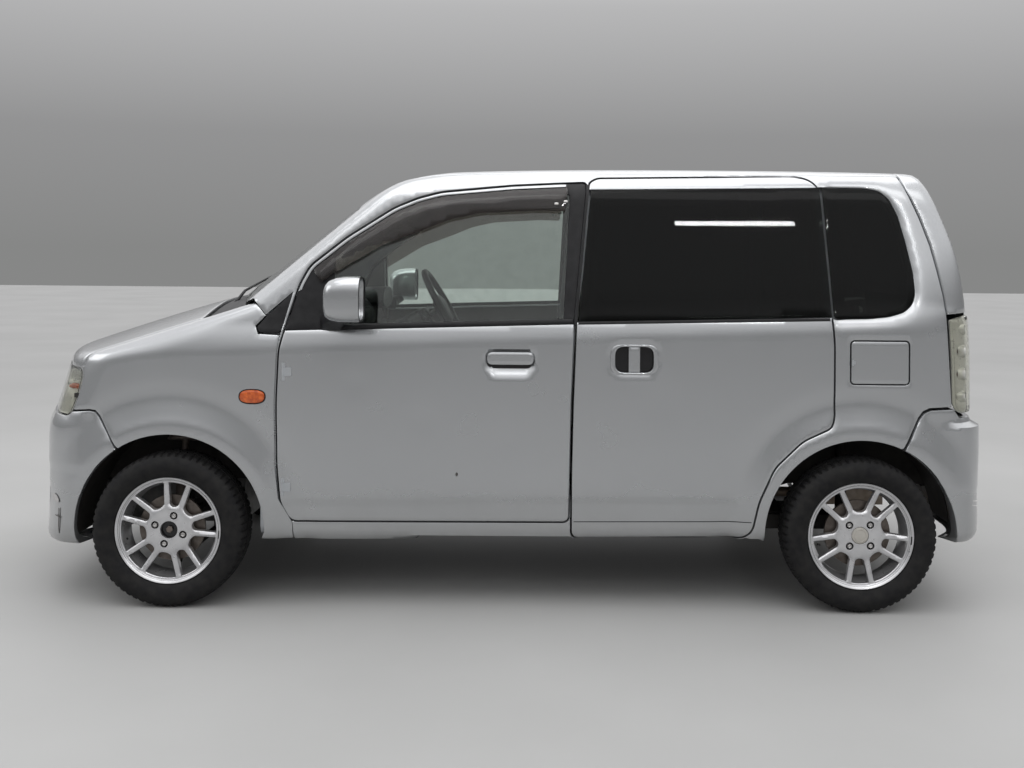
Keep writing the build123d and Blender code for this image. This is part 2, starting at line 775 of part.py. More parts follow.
plenum_half = 420.0
strut_top_y = 455.0
strut_top_z = 850.0
ball_joint_y = 610.0
ball_joint_z = 150.0
tower_radius = 76.0
kingpin_foot = (front_axle_x, -ball_joint_y, ball_joint_z)
kingpin_head = (front_axle_x, -strut_top_y, strut_top_z)
strut_length = ((ball_joint_y - strut_top_y) ** 2 + (strut_top_z - ball_joint_z) ** 2) ** 0.5
kingpin_dir = (0, (ball_joint_y - strut_top_y) / strut_length, (strut_top_z - ball_joint_z) / strut_length)


def on_kingpin(distance):
    """Point on the left steering axis, measured up from the ball joint."""
    return tuple(a + b * distance for a, b in zip(kingpin_foot, kingpin_dir))


with BuildPart() as front_frame:
    add(block((bulkhead_x - 14, -640, floor_height), (bulkhead_x, 640, 985)))
    add(block((-1590, -rail_y, 400), (bulkhead_x - 14, -rail_y + 60, 470)))
    add(block((-1450, -rail_y - 8, 400), (bulkhead_x - 14, -rail_y, 720)))
    add(block((-1450, -760, 700), (bulkhead_x - 14, -rail_y, 714)))
    add(rod(on_kingpin(410), on_kingpin(strut_length + 14), tower_radius + 5))
    add(block((-1590, -rail_y - 100, 400), (-1575, 0, 460)))
    add(block((-1590, -rail_y - 100, 700), (-1575, 0, 740)))
    add(block((-1590, -rail_y, 400), (-1575, -rail_y + 60, 740)))
    mirror(about=Plane.XZ)
    add(skin_body, mode=Mode.INTERSECT)
    room = housing_room(front_axle_x)
    add(room, mode=Mode.SUBTRACT)
    mirror(room, about=Plane.XZ, mode=Mode.SUBTRACT)
    inside = rod(on_kingpin(300), on_kingpin(strut_length), tower_radius)
    add(inside, mode=Mode.SUBTRACT)
    mirror(inside, about=Plane.XZ, mode=Mode.SUBTRACT)
    liner = without(wheel_housing(front_axle_x, 690), inside, plain_side)
    add(common(liner, skin_body))
    mirror(common(liner, skin_body), about=Plane.XZ)
    add(tow_eye(-1470, -314, rail_low_z))
    plenum_z = bonnet_hinge_z - hinge_reach
    add(block((bonnet_hinge_x - 20, -plenum_half, plenum_z - 12), (bulkhead_x, plenum_half, plenum_z)))
    for y in (-bonnet_hinge_y, bonnet_hinge_y):
        add(fixed_hinge(bonnet_hinge_plane(y), hinge_reach))
export(front_frame.part, "front_frame")

# ---------------------------------------------------------------- wheels
spindle_radius = 14.0
spindle_gap = 0.05
rim_outer_y = 715.0
rim_inner_y = 592.0
rim_wall = 7.0
disc_face_y = 703.0
disc_thickness = 12.0
spoke_width = 15.0
spoke_spread = 13.7
brake_disc_radius = 112.0
hub_face_y = 686.0


def tyre(axle_x):
    """Left tyre: rounded tread and side walls on the rim's seats."""
    inner = rim_radius - rim_wall
    low, high = wheel_y - tyre_width / 2, wheel_y + tyre_width / 2
    with BuildPart() as ring:
        with BuildSketch(Plane(origin=(axle_x, 0, axle_z), x_dir=(0, -1, 0), z_dir=(1, 0, 0))):
            with BuildLine():
                Polyline((low + 8, rim_radius + 4), (low, tyre_radius - 45), (low + 14, tyre_radius - 9),
                         (low + 30, tyre_radius), (high - 30, tyre_radius), (high - 14, tyre_radius - 9),
                         (high, tyre_radius - 45), (high - 6, rim_flange_radius + 2),
                         (rim_outer_y - 9, rim_flange_radius + 2), (rim_outer_y - 9, rim_radius + 4), close=True)
            make_face()
        revolve(axis=Axis((axle_x, 0, axle_z), (0, 1, 0)))
    return ring.part


def rim(axle_x, turn, capped):
    """Left wheel: drum, flange, five pairs of spokes, hub with four lug holes."""
    with BuildPart() as wheel:
        with BuildSketch(Plane(origin=(axle_x, 0, axle_z), x_dir=(0, -1, 0), z_dir=(1, 0, 0))):
            with BuildLine():
                Polyline((rim_inner_y, rim_radius + 4), (rim_outer_y - 9, rim_radius + 4),
                         (rim_outer_y - 9, rim_flange_radius), (rim_outer_y, rim_flange_radius),
                         (rim_outer_y, rim_radius - rim_wall), (rim_inner_y, rim_radius - rim_wall), close=True)
            make_face()
        revolve(axis=Axis((axle_x, 0, axle_z), (0, 1, 0)))
        add(wheel_disc(axle_x, 68, hub_face_y, disc_face_y))
        for pair in range(spoke_pairs):
            for side in (-1, 1):
                angle = radians(turn + 360 / spoke_pairs * pair + side * spoke_spread)
                tip = (axle_x + rim_radius * sin(angle), axle_z + rim_radius * cos(angle))
                foot_angle = radians(turn + 360 / spoke_pairs * pair + side * 8)
                foot = (axle_x + 55 * sin(foot_angle), axle_z + 55 * cos(foot_angle))
                with BuildSketch(Plane.XZ.offset(disc_face_y - disc_thickness)):
                    with BuildLine():
                        Line(foot, tip)
                    trace(line_width=spoke_width)
                extrude(amount=disc_thickness)
        with BuildSketch(Plane.XZ.offset(hub_face_y - 1)):
            with Locations((axle_x, axle_z)):
                Circle(hub_bore_radius)
        extrude(amount=disc_face_y - hub_face_y + 2, mode=Mode.SUBTRACT)
        if capped:
            add(wheel_disc(axle_x, hub_bore_radius, disc_face_y - 8, disc_face_y - 3))
        with BuildSketch(Plane.XZ.offset(disc_face_y - 6)):
            with Locations((axle_x, axle_z)):
                with PolarLocations(lug_circle_radius, 4, start_angle=90 - turn - 8.5):
                    Circle(lug_radius)
        extrude(amount=10, mode=Mode.SUBTRACT)
    return wheel.part


def hub(axle_x):
    """Hub and brake disc that turn with a left wheel, with four studs."""
    with BuildPart() as turning:
        add(wheel_disc(axle_x, 66, hub_face_y - 12, hub_face_y))
        add(wheel_disc(axle_x, brake_disc_radius, hub_face_y - 34, hub_face_y - 22))
        add(wheel_disc(axle_x, 60, hub_face_y - 34, hub_face_y - 12))
        with BuildSketch(Plane.XZ.offset(hub_face_y - 40)):
            with Locations((axle_x, axle_z)):
                Circle(26)
        extrude(amount=40 - 12)
        with BuildSketch(Plane.XZ.offset(hub_face_y - 45)):
            with Locations((axle_x, axle_z)):
                Circle(spindle_radius + spindle_gap)
        extrude(amount=60, mode=Mode.SUBTRACT)
    return turning.part


for name, axle_x, side, capped, turn in WHEELS:
    pieces = (("tyre", tyre(axle_x)), ("rim", rim(axle_x, turn, capped)), ("hub", hub(axle_x)))
    for kind, piece in pieces:
        export(piece if side < 0 else to_right(piece), f"{kind}_{name}")

# ---------------------------------------------------------------- front suspension and steering
ball_radius = 10.0
with BuildPart() as knuckle:
    add(rod(on_kingpin(12), on_kingpin(330), 22))
    add(rod(on_kingpin(330), on_kingpin(strut_length - 30), 12))
    add(rod(on_kingpin(395), on_kingpin(402), 62))
    add(rod(on_kingpin(402), on_kingpin(strut_length - 46), 58, 46))
    add(rod(on_kingpin(strut_length - 46), on_kingpin(strut_length - 36), 62))
    add(rod((front_axle_x, -575, axle_z), (front_axle_x, -hub_face_y + 2, axle_z), spindle_radius))
    add(block((front_axle_x - 30, -640, axle_z - 40), (front_axle_x + 30, -578, axle_z + 40)))
    add(rod(kingpin_foot, on_kingpin(20), ball_radius))
    add(rod(on_kingpin(strut_length - 36), kingpin_head, ball_radius))
    add(rod((front_axle_x, -600, 215), (front_axle_x + 105, -585, 215), 8))
export(knuckle.part, "knuckle_left")
export(to_right(knuckle.part), "knuckle_right")

with BuildPart() as lower_arm:
    for x in (-70, 70):
        add(rod((front_axle_x + x, -350, 190), (front_axle_x, -ball_joint_y + 14, ball_joint_z - 14), 11))
    add(rod(on_kingpin(-22), on_kingpin(9), ball_radius + 8))
    add(rod(on_kingpin(-1), on_kingpin(10), ball_radius + pin_clearance), mode=Mode.SUBTRACT)
    for x in (-70, 70):
        add(block((front_axle_x + x - 15, -362, 175), (front_axle_x + x + 15, -338, 240)))
        add(block((front_axle_x + x - 15, -362, 230), (front_axle_x + x + 15, -285, 400)))
export(both_sides(lower_arm.part), "lower_arms")

steering_x, steering_y, steering_z = -270.0, 330.0, 970.0
column_dir = (-cos(radians(30)), 0, -sin(radians(30)))


def along_column(distance):
    """Point on the steering column, measured down and forwards from the wheel's centre."""
    return tuple(a + b * distance for a, b in zip((steering_x, steering_y, steering_z), column_dir))


column_length = 330.0
with BuildPart() as steering_wheel:
    with BuildSketch(Plane(origin=along_column(0), x_dir=(0, 1, 0), z_dir=column_dir)) as grip:
        Circle(185)
        Circle(157, mode=Mode.SUBTRACT)
        Rectangle(330, 34)
        with Locations((0, -80)):
            Rectangle(34, 160)
        Circle(62)
    extrude(amount=12, both=True)
    add(rod(along_column(0), along_column(column_length), 12))
export(steering_wheel.part, "steering_wheel")

# ---------------------------------------------------------------- dashboard and seats
floor_top_z = floor_height + floor_thickness
housing_clear = 6.0
housing_cut = wheel_disc(rear_axle_x, housing_radius + 4 + housing_clear, housing_inner_y - 10, width)


def cross_bar(points, half):
    """Bar across the car with an outline in X and Z."""
    with BuildPart() as bar:
        with BuildSketch(Plane.XZ):
            with BuildLine():
                Polyline(*points, close=True)
            make_face()
        extrude(amount=half, both=True)
    return bar.part


dash_outline = (
    (bulkhead_x, 640), (-650, 640), (-575, 780), (-545, 900), (-560, 1020), (-640, 1050), (bulkhead_x, 1045),
)
with BuildPart() as dashboard:
    add(common(cross_bar(dash_outline, 640), inner_body))
    add(rod(along_column(170), along_column(column_length + 30), 34))
    add(rod(along_column(160), along_column(column_length + 6), 12 + pin_clearance), mode=Mode.SUBTRACT)
export(dashboard.part, "dashboard")

seat_y = 330.0
seat_outline = (
    (-270, 470), (-275, 580), (-235, 612), (150, 585), (190, 620), (282, 1070), (358, 1060), (300, 470),
)
with BuildPart() as front_seat:
    with BuildSketch(Plane.XZ.offset(seat_y - 235)):
        with BuildLine():
            Polyline(*seat_outline, close=True)
        make_face()
    extrude(amount=470)
    add(block((-180, -seat_y - 200, floor_top_z + seat_gap), (260, -seat_y + 200, 475)))
    add(block((290, -seat_y - 125, 1085), (365, -seat_y + 125, 1195)))
    for y in (-seat_y - 45, -seat_y + 45):
        add(rod((315, y, 1050), (328, y, 1100), 7))
export(both_sides(front_seat.part), "front_seats")
bench_outline = (
    (600, 440), (600, 560), (640, 610), (1010, 590), (1110, 1010), (1190, 1000), (1150, boot_floor_z + floor_thickness + seat_gap),
    (780, boot_floor_z + floor_thickness + seat_gap), (780, 440),
)
with BuildPart() as rear_seat:
    add(cross_bar(bench_outline, 590))
    for y in (-300, 300):
        add(block((1120, y - 115, 1025), (1185, y + 115, 1130)))
        for post_y in (y - 40, y + 40):
            add(rod((1140, post_y, 990), (1150, post_y, 1040), 7))
    add(housing_cut, mode=Mode.SUBTRACT)
    mirror(housing_cut, about=Plane.XZ, mode=Mode.SUBTRACT)
export(rear_seat.part, "rear_seat")

# ---------------------------------------------------------------- engine, exhaust, tank, rear axle
engine_half = rail_y - 60
export(block((-1420, -engine_half, 190), (-960, engine_half, 760)), "engine")
with BuildPart() as shafts:
    add(rod((front_axle_x, -engine_half, axle_z), (front_axle_x, -548, axle_z), 12))
    for y in (-engine_half - 1, -500):
        add(rod((front_axle_x, y, axle_z), (front_axle_x, y - 48, axle_z), 34))
export(both_sides(shafts.part), "drive_shafts")

tank_top = floor_height
export(block((250, -420, 178), (700, 150, tank_top)), "fuel_tank")
pipe_y, pipe_z, pipe_radius = 250.0, 206.0, 20.0
with BuildPart() as exhaust:
    add(rod((-960, pipe_y, pipe_z), (1320, pipe_y, pipe_z), pipe_radius))
    add(block((1300, 130, 180), (1560, 412, 320)))
    for y in (180, 380):
        add(rod((1430, y, 310), (1430, y, boot_floor_z), 6))
    add(rod((1550, 380, 200), (1650, 380, 200), pipe_radius - 2))
export(exhaust.part, "exhaust")

spring_x, spring_y = 1130.0, 365.0
with BuildPart() as rear_axle:
    add(block((835, -510, axle_z - 25), (rear_axle_x + 30, -470, axle_z + 25)))
    add(block((950, -480, 240), (1030, 0, 290)))
    add(rod((rear_axle_x, -472, axle_z), (rear_axle_x, -hub_face_y + 2, axle_z), spindle_radius))
    add(rod((rear_axle_x, -472, axle_z), (rear_axle_x, -620, axle_z), 32))
    add(block((835, -510, axle_z), (880, -470, 340)))
    add(block((835, -510, 330), (880, -385, 345)))
    add(block((835, -400, 330), (880, -385, boot_floor_z)))
    add(block((spring_x - 52, -480, 262), (spring_x + 52, -spring_y + 52, 282)))
    add(rod((spring_x, -spring_y, 280), (spring_x, -spring_y, boot_floor_z), 50, 38))
    add(rod((rear_axle_x, -446, axle_z), (rear_axle_x, -446, axle_z + housing_radius), 20))
    add(block((rear_axle_x - 24, -475, axle_z - 20), (rear_axle_x + 24, -426, axle_z + 20)))
    mirror(about=Plane.XZ)
    add(floor.part, mode=Mode.SUBTRACT)
export(rear_axle.part, "rear_axle")

# ---------------------------------------------------------------- plates, mirrors
plate = (330.0, 165.0, 4.0)
export(common(block((-1800, -plate[0] / 2, 455), (-1600, plate[0] / 2, 455 + plate[1])),
              without(envelope(-plate[2]), plain_body)), "front_plate")
export(common(block((1500, -plate[0] / 2, 780), (1800, plate[0] / 2, 780 + plate[1])),
              without(envelope(-plate[2]), plain_body)), "rear_plate")
with BuildPart() as mirror_left:
    with BuildSketch(Plane.YZ.offset(-565)):
        with Locations((-808, 1051)):
            RectangleRounded(144, 150, 34)
    extrude(amount=105)
    fillet(mirror_left.faces().sort_by(Axis.X)[0].edges(), 26)
    add(block((-610, -760, 930), (-520, -690, 1000)))
    add(outer_body, mode=Mode.SUBTRACT)
export(mirror_left.part, "mirror_left")
export(to_right(mirror_left.part), "mirror_right")
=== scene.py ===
from math import atan2, cos, hypot, pi, radians, sin

import bmesh
import bpy
import numpy as np
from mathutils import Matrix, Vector, geometry


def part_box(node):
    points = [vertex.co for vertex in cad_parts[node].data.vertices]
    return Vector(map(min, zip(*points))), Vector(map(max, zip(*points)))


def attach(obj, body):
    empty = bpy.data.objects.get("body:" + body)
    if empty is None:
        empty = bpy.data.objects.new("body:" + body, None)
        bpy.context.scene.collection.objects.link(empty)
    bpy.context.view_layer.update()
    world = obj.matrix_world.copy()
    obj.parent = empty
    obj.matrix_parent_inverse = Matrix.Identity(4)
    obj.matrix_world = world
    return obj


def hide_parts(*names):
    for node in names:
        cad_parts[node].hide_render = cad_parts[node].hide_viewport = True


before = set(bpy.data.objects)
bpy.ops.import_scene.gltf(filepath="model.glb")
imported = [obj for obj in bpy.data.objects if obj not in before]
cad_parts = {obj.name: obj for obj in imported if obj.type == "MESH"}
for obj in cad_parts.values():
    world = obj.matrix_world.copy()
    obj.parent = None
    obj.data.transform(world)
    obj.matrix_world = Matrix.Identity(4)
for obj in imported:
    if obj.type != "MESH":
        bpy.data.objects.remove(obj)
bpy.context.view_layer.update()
MM = 0.001

# ---------------------------------------------------------------- sizes, in millimetres
LENGTH, WIDTH, HEIGHT = 3395.0, 1475.0, 1530.0
FRONT_AXLE_X, REAR_AXLE_X, AXLE_Z = -1107.5, 1232.5, 260.0
ARCH_RADIUS, LIP_RADIUS, FLARE_RADIUS, FLARE_WIDTH = 325.0, 360.0, 440.0, 11.0
HALF_WIDTH = WIDTH / 2 - FLARE_WIDTH
NOSE_X, TAIL_X = -LENGTH / 2, LENGTH / 2
SKIN, WALL, ROOF_THICKNESS, SEAL = 22.0, 58.0, 32.0, 5.0
GAP = 7.0
FRAME_INSET, JAMB_INSET, HINGE_ROOM = 40.0, 28.0, 35.0
BONNET_LIP, BONNET_TOP = (NOSE_X + 108, 846.0), (-1003.0, 1034.0)
SCREEN_BASE, SCREEN_TOP = (-962.0, 1056.0), (-645.0, 1312.0)
SCREEN_SWEEP = 123.0
BONNET_SIDE_Y, BONNET_REAR_X, BONNET_FRONT_Z = 650.0, -1010.0, 812.0
ROOF_EDGE_Y = 548.0
BELT_SLOPE, BELT_Z = 0.0317, 960.6
SIDES = {-1: "left", 1: "right"}


# ---------------------------------------------------------------- plane geometry
def arc(a, b, c, n=14):
    """Points on the arc through three points, without the last one."""
    (ax, ay), (bx, by), (cx, cy) = a, b, c
    aa, bb, cc = ax**2 + ay**2, bx**2 + by**2, cx**2 + cy**2
    d = 2 * (ax * (by - cy) + bx * (cy - ay) + cx * (ay - by))
    ux = (aa * (by - cy) + bb * (cy - ay) + cc * (ay - by)) / d
    uy = (aa * (cx - bx) + bb * (ax - cx) + cc * (bx - ax)) / d
    r = hypot(ax - ux, ay - uy)
    t0, tb, t1 = (atan2(y - uy, x - ux) for x, y in (a, b, c))
    turn = (t1 - t0) % (2 * pi)
    if (tb - t0) % (2 * pi) > turn:
        turn -= 2 * pi
    return [(ux + r * cos(t0 + turn * i / n), uy + r * sin(t0 + turn * i / n)) for i in range(n)]


def mirrored(points, axis=0):
    """An outline that starts and ends on a coordinate's zero, with its mirror image."""
    sx, sy = (-1, 1) if axis == 0 else (1, -1)
    return list(points) + [(sx * p[0], sy * p[1]) for p in reversed(points) if abs(p[axis]) > 1e-3]


def rounded(points, radius):
    """Outline with each corner eased over at most this length."""
    out = []
    n = len(points)
    for i in range(n):
        a, b, c = (np.array(points[(i + k) % n], float) for k in (-1, 0, 1))
        la, lc = np.linalg.norm(a - b), np.linalg.norm(c - b)
        cut = min(radius, 0.45 * la, 0.45 * lc)
        p, q = b + (a - b) / la * cut, b + (c - b) / lc * cut
        for t in np.linspace(0, 1, 6):
            out.append(tuple((1 - t) ** 2 * p + 2 * t * (1 - t) * b + t**2 * q))
    return out


def moved_out(points, amount):
    """Outline moved outwards by an amount, or inwards where it is negative."""
    p = np.array(points, float)
    p = p[[i for i in range(len(p)) if np.linalg.norm(p[i] - p[i - 1]) > 0.05]]
    area = np.sum(p[:, 0] * np.roll(p[:, 1], -1) - np.roll(p[:, 0], -1) * p[:, 1])
    before, after = p - np.roll(p, 1, 0), np.roll(p, -1, 0) - p
    nb, na = (np.stack([d[:, 1], -d[:, 0]], 1) / np.linalg.norm(d, axis=1)[:, None] for d in (before, after))
    mid = nb + na
    mid /= np.maximum(np.linalg.norm(mid, axis=1), 1e-6)[:, None]
    scale = 1.0 / np.maximum(np.sum(mid * na, 1), 0.5)
    return [tuple(q) for q in p + (1.0 if area > 0 else -1.0) * amount * mid * scale[:, None]]


def dense(points, step, closed=True):
    """Line with points no further apart than a step; an open one keeps its last point."""
    points = [tuple(p) for p in points]
    out = []
    for a, b in zip(points, points[1:] + points[:1] * closed):
        n = max(1, int(np.ceil(hypot(b[0] - a[0], b[1] - a[1]) / step)))
        out += [(a[0] + (b[0] - a[0]) * i / n, a[1] + (b[1] - a[1]) * i / n) for i in range(n)]
    return out if closed else out + points[-1:]


def clipped(points, normal, offset):
    """The part of an outline where normal . point is at most an offset."""
    out = []
    for a, b in zip(points, list(points[1:]) + [points[0]]):
        da, db = np.dot(normal, a) - offset, np.dot(normal, b) - offset
        if da <= 0:
            out.append(a)
        if da * db < 0:
            out.append(tuple(np.array(a) + (np.array(b) - np.array(a)) * (da / (da - db))))
    return out


def box_line(centre, half, corner=0.0):
    """Rectangle around a centre, with rounded corners where a radius is given."""
    (cx, cz), (a, c) = centre, half
    points = [(cx - a, cz - c), (cx + a, cz - c), (cx + a, cz + c), (cx - a, cz + c)]
    return rounded(points, corner) if corner else points


def oval(a, b, n=32, power=2.0, at=(0.0, 0.0)):
    """Oval outline, squarer where the power is above two."""
    out = []
    for i in range(n):
        c, s = cos(2 * pi * i / n), sin(2 * pi * i / n)
        out.append((at[0] + a * abs(c) ** (2 / power) * (1 if c >= 0 else -1),
                    at[1] + b * abs(s) ** (2 / power) * (1 if s >= 0 else -1)))
    return out


def arch(axle_x, start, stop, n=40):
    """Points on a wheel opening from one angle to another, in degrees from level."""
    return [(axle_x + ARCH_RADIUS * cos(radians(a)), AXLE_Z + ARCH_RADIUS * sin(radians(a)))
            for a in np.linspace(start, stop, n)]


def signed_distance(p, outline):
    """Distance of points to an outline, negative inside it."""
    px, py = np.array(p, float).T.copy()
    best = np.full(len(px), 1e18)
    inside = np.zeros(len(px), bool)
    o = np.array(outline, float)
    for (ax, ay), (bx, by) in zip(o, np.roll(o, -1, 0)):
        dx, dy = bx - ax, by - ay
        ll = dx * dx + dy * dy
        if ll < 1e-9:
            continue
        qx, qy = px - ax, py - ay
        t = np.minimum(np.maximum((qx * dx + qy * dy) / ll, 0), 1)
        best = np.minimum(best, (qx - t * dx) ** 2 + (qy - t * dy) ** 2)
        if dy:
            inside ^= ((ay > py) != (by > py)) & (px < ax + dx * qy / dy)
    best = np.sqrt(best)
    return np.where(inside, -best, best)


class Field:
    """Signed distance to an outline, looked up in a grid."""
    STEP = 8.0

    def __init__(self, outline, low, high):
        self.low = np.array(low, float)
        self.n = [int((h - l) / self.STEP) + 2 for l, h in zip(low, high)]
        u, v = np.meshgrid(*(l + self.STEP * np.arange(n) for l, n in zip(low, self.n)), indexing="ij")
        self.grid = signed_distance(np.stack([u.ravel(), v.ravel()], 1), outline).reshape(self.n)

    def __call__(self, u, v):
        a = np.clip((u - self.low[0]) / self.STEP, 0, self.n[0] - 1.001)
        b = np.clip((v - self.low[1]) / self.STEP, 0, self.n[1] - 1.001)
        i, j = a.astype(int), b.astype(int)
        f, g = a - i, b - j
        t = self.grid
        return ((t[i, j] * (1 - f) + t[i + 1, j] * f) * (1 - g)
                + (t[i, j + 1] * (1 - f) + t[i + 1, j + 1] * f) * g)


def smooth_max(a, b, k):
    """The larger value, blended where the two differ by less than k."""
    h = np.maximum(k - np.abs(a - b), 0) / k
    return np.maximum(a, b) + h * h * k / 4


def ease(t):
    """Smooth step from 0 to 1."""
    t = np.clip(t, 0, 1)
    return t * t * (3 - 2 * t)


# ---------------------------------------------------------------- the body's outer shape
side_line = (
    [(NOSE_X + 57, 173)] + arc((NOSE_X + 17, 260), (NOSE_X, 430), (NOSE_X + 8, 620)) + [(NOSE_X + 8, 620)]
    + arc((NOSE_X + 57, 790), (NOSE_X + 73, 822), BONNET_LIP) + arc(BONNET_LIP, (-1284, 957), BONNET_TOP)
    + [BONNET_TOP, SCREEN_BASE] + arc(SCREEN_TOP, (-430, 1427), (-160, 1497))
    + arc((-160, 1497), (646, HEIGHT), (1440, 1512)) + arc((1440, 1512), (1468, 1500), (1484, 1470))
    + arc((1484, 1470), (1586, 1180), (1648, 870)) + [(1648, 870), (1655, 662)]
    + arc((1681, 642), (TAIL_X, 497), (TAIL_X - 11, 330))
    + [(TAIL_X - 11, 330), (1652, 228), (1400, 228), (830, 238), (-740, 220), (-1400, 200)])
plan_half = (
    arc((0, NOSE_X), (330, NOSE_X + 32), (520, NOSE_X + 105))
    + arc((520, NOSE_X + 105), (632, NOSE_X + 172), (694, -1415))
    + arc((694, -1415), (718, -1100), (HALF_WIDTH, -740))
    + [(HALF_WIDTH, -740)] + arc((HALF_WIDTH, 1250), (718, 1420), (680, 1560))
    + arc((680, 1560), (630, 1622), (540, 1660)) + arc((540, 1660), (280, TAIL_X - 9), (0, TAIL_X))
    + [(0, TAIL_X)])
cross_half = (
    [(0, 150), (640, 150)] + arc((706, 215), (HALF_WIDTH - 1, 520), (HALF_WIDTH - 4, 897))
    + arc((HALF_WIDTH - 4, 897), (709, 944), (694, 985)) + [(694, 985)]
    + arc((613, 1392), (576, 1464), (490, 1508))
    + arc((490, 1508), (250, 1526), (0, HEIGHT)) + [(0, HEIGHT)])
nose_line = (arc((-650, -52), (0, 14), (650, -52), 40) + arc((650, -52), (698, -84), (725, -150))
             + [(725, -150), (740, -1400), (-740, -1400)] + arc((-725, -150), (-698, -84), (-650, -52)))
screen_line = arc((-800, -SCREEN_SWEEP), (0, 0), (800, -SCREEN_SWEEP), 40) + [
    (800, -SCREEN_SWEEP), (800, -2600), (-800, -2600)]

side_field = Field(side_line, (-1900, 0), (1900, 1700))
plan_field = Field(mirrored(plan_half), (-900, -1900), (900, 1900))
cross_field = Field(mirrored(cross_half), (-900, 0), (900, 1700))
nose_field = Field(nose_line, (-900, -1500), (900, 300))
screen_field = Field(screen_line, (-900, -2700), (900, 300))
SHOULDER_RISE = ((-1697, -1395, -758, -98, 259, 615, 1121, 1260, 1697),
                 (-60, -52, -22, 6, 20, 32, 50, 60, 64))
NOSE_BACK = ((560, 600, 640, 700, 790, 830, 870), (0, 5, 26, 46, 72, 86, 104))
CREASE_Z = ((-760, -654, 247, 797, 850), (364, 368, 379, 386, 340))
# Faint dents in the doors: x, z, size, depth
DENTS = ((-250, 640, 45, 1.2), (20, 560, 60, 1.0), (560, 700, 70, 1.0), (-480, 760, 40, 0.8))
CROSS_BLEND, PLAN_BLEND, NOSE_BLEND, SCREEN_BLEND = 36, 50, 16, 30
LIP_HEIGHT, VALLEY_DEPTH, VALLEY_WIDTH, CREASE_DEPTH = FLARE_WIDTH + 2, 3.0, 34, 4.5


def slope_of(start, end):
    """Unit vector square to a line in X and Z, on its upper side."""
    run = np.array(end) - np.array(start)
    return np.array((-run[1], run[0])) / np.linalg.norm(run)


NOSE_UP, SCREEN_UP = slope_of(BONNET_LIP, BONNET_TOP), slope_of(SCREEN_BASE, SCREEN_TOP)


def shape(p, part="whole"):
    """Signed distance of points to the body's painted surface; part chooses nose or cabin."""
    x, y, z = p.T
    window = ease((z - 560) / 220) * np.clip((1400 - z) / 400, 0, 1)
    rise = np.interp(x, *SHOULDER_RISE) * window
    d = smooth_max(side_field(x, z), cross_field(y, z - rise), CROSS_BLEND)
    back = np.interp(z, *NOSE_BACK) * ease((-1150 - x) / 150)
    d = smooth_max(d, plan_field(y, x - back), PLAN_BLEND)
    nose_up = (x - BONNET_TOP[0]) * NOSE_UP[0] + (z - BONNET_TOP[1]) * NOSE_UP[1]
    screen_up = (x - SCREEN_BASE[0]) * SCREEN_UP[0] + (z - SCREEN_BASE[1]) * SCREEN_UP[1]
    nose = smooth_max(d, nose_field(y, nose_up), NOSE_BLEND)
    cabin = smooth_max(d, screen_field(y, screen_up), SCREEN_BLEND)
    d = {"nose": nose, "cabin": cabin}.get(part, np.minimum(nose, cabin))
    at_side = ease((np.abs(y) - 560) / 60)
    for axle_x in (FRONT_AXLE_X, REAR_AXLE_X):
        r = np.hypot(x - axle_x, z - AXLE_Z)
        t = np.clip((FLARE_RADIUS + 10 - r) / (FLARE_RADIUS + 10 - LIP_RADIUS), 0, 1)
        swell = t ** 1.7 * ease((z - 215) / 60)
        valley = np.exp(-((r - FLARE_RADIUS - 20) / VALLEY_WIDTH) ** 2)
        d = d - (LIP_HEIGHT * swell - VALLEY_DEPTH * valley) * at_side
    below = ease((np.interp(x, *CREASE_Z) - z) / 16) * ease((x + 760) / 60) * ease((850 - x) / 60)
    d = d + CREASE_DEPTH * below * at_side
    for dx, dz, size, deep in DENTS:
        d = d + deep * np.exp(-((x - dx) ** 2 + (z - dz) ** 2) / size**2) * at_side * (y < 0)
    return d


# ---------------------------------------------------------------- families of rays onto the shape
class Straight:
    """Parallel rays from outside against one axis; u and v are the other two coordinates."""

    def __init__(self, axis, start, reach, part="whole"):
        self.axis, self.start, self.reach, self.part = axis, start, reach, part

    def rays(self, u, v):
        along = np.zeros((len(u), 3))
        along[:, self.axis] = -np.sign(self.start)
        return np.insert(np.stack([u, v], 1), self.axis, self.start, axis=1), along, self.reach


class Shoulder:
    """Level rays up to a turning height, then rays that fan up over a front fender."""
    part = "nose"
    CENTRE_Y, RADIUS, REACH = 590.0, 110.0, 300.0

    def __init__(self, side):
        self.side = side

    def turn_z(self, x):
        return np.interp(x, (-1420, -1000, -850), (770, 930, 960))

    def rays(self, u, v):
        t0 = self.turn_z(u)
        a = np.clip((v - t0) / self.RADIUS, 0, 1.7)
        out = np.stack([np.zeros(len(u)), self.side * np.cos(a), np.sin(a)], 1)
        centre = np.stack([u, np.full(len(u), self.side * self.CENTRE_Y), np.minimum(v, t0)], 1)
        return centre + out * self.REACH, -out, self.REACH

    def uv(self, p):
        t0 = self.turn_z(p[:, 0])
        a = np.arctan2(p[:, 2] - t0, np.abs(p[:, 1]) - self.CENTRE_Y)
        return np.stack([p[:, 0], np.where(p[:, 2] > t0, t0 + a * self.RADIUS, p[:, 2])], 1)


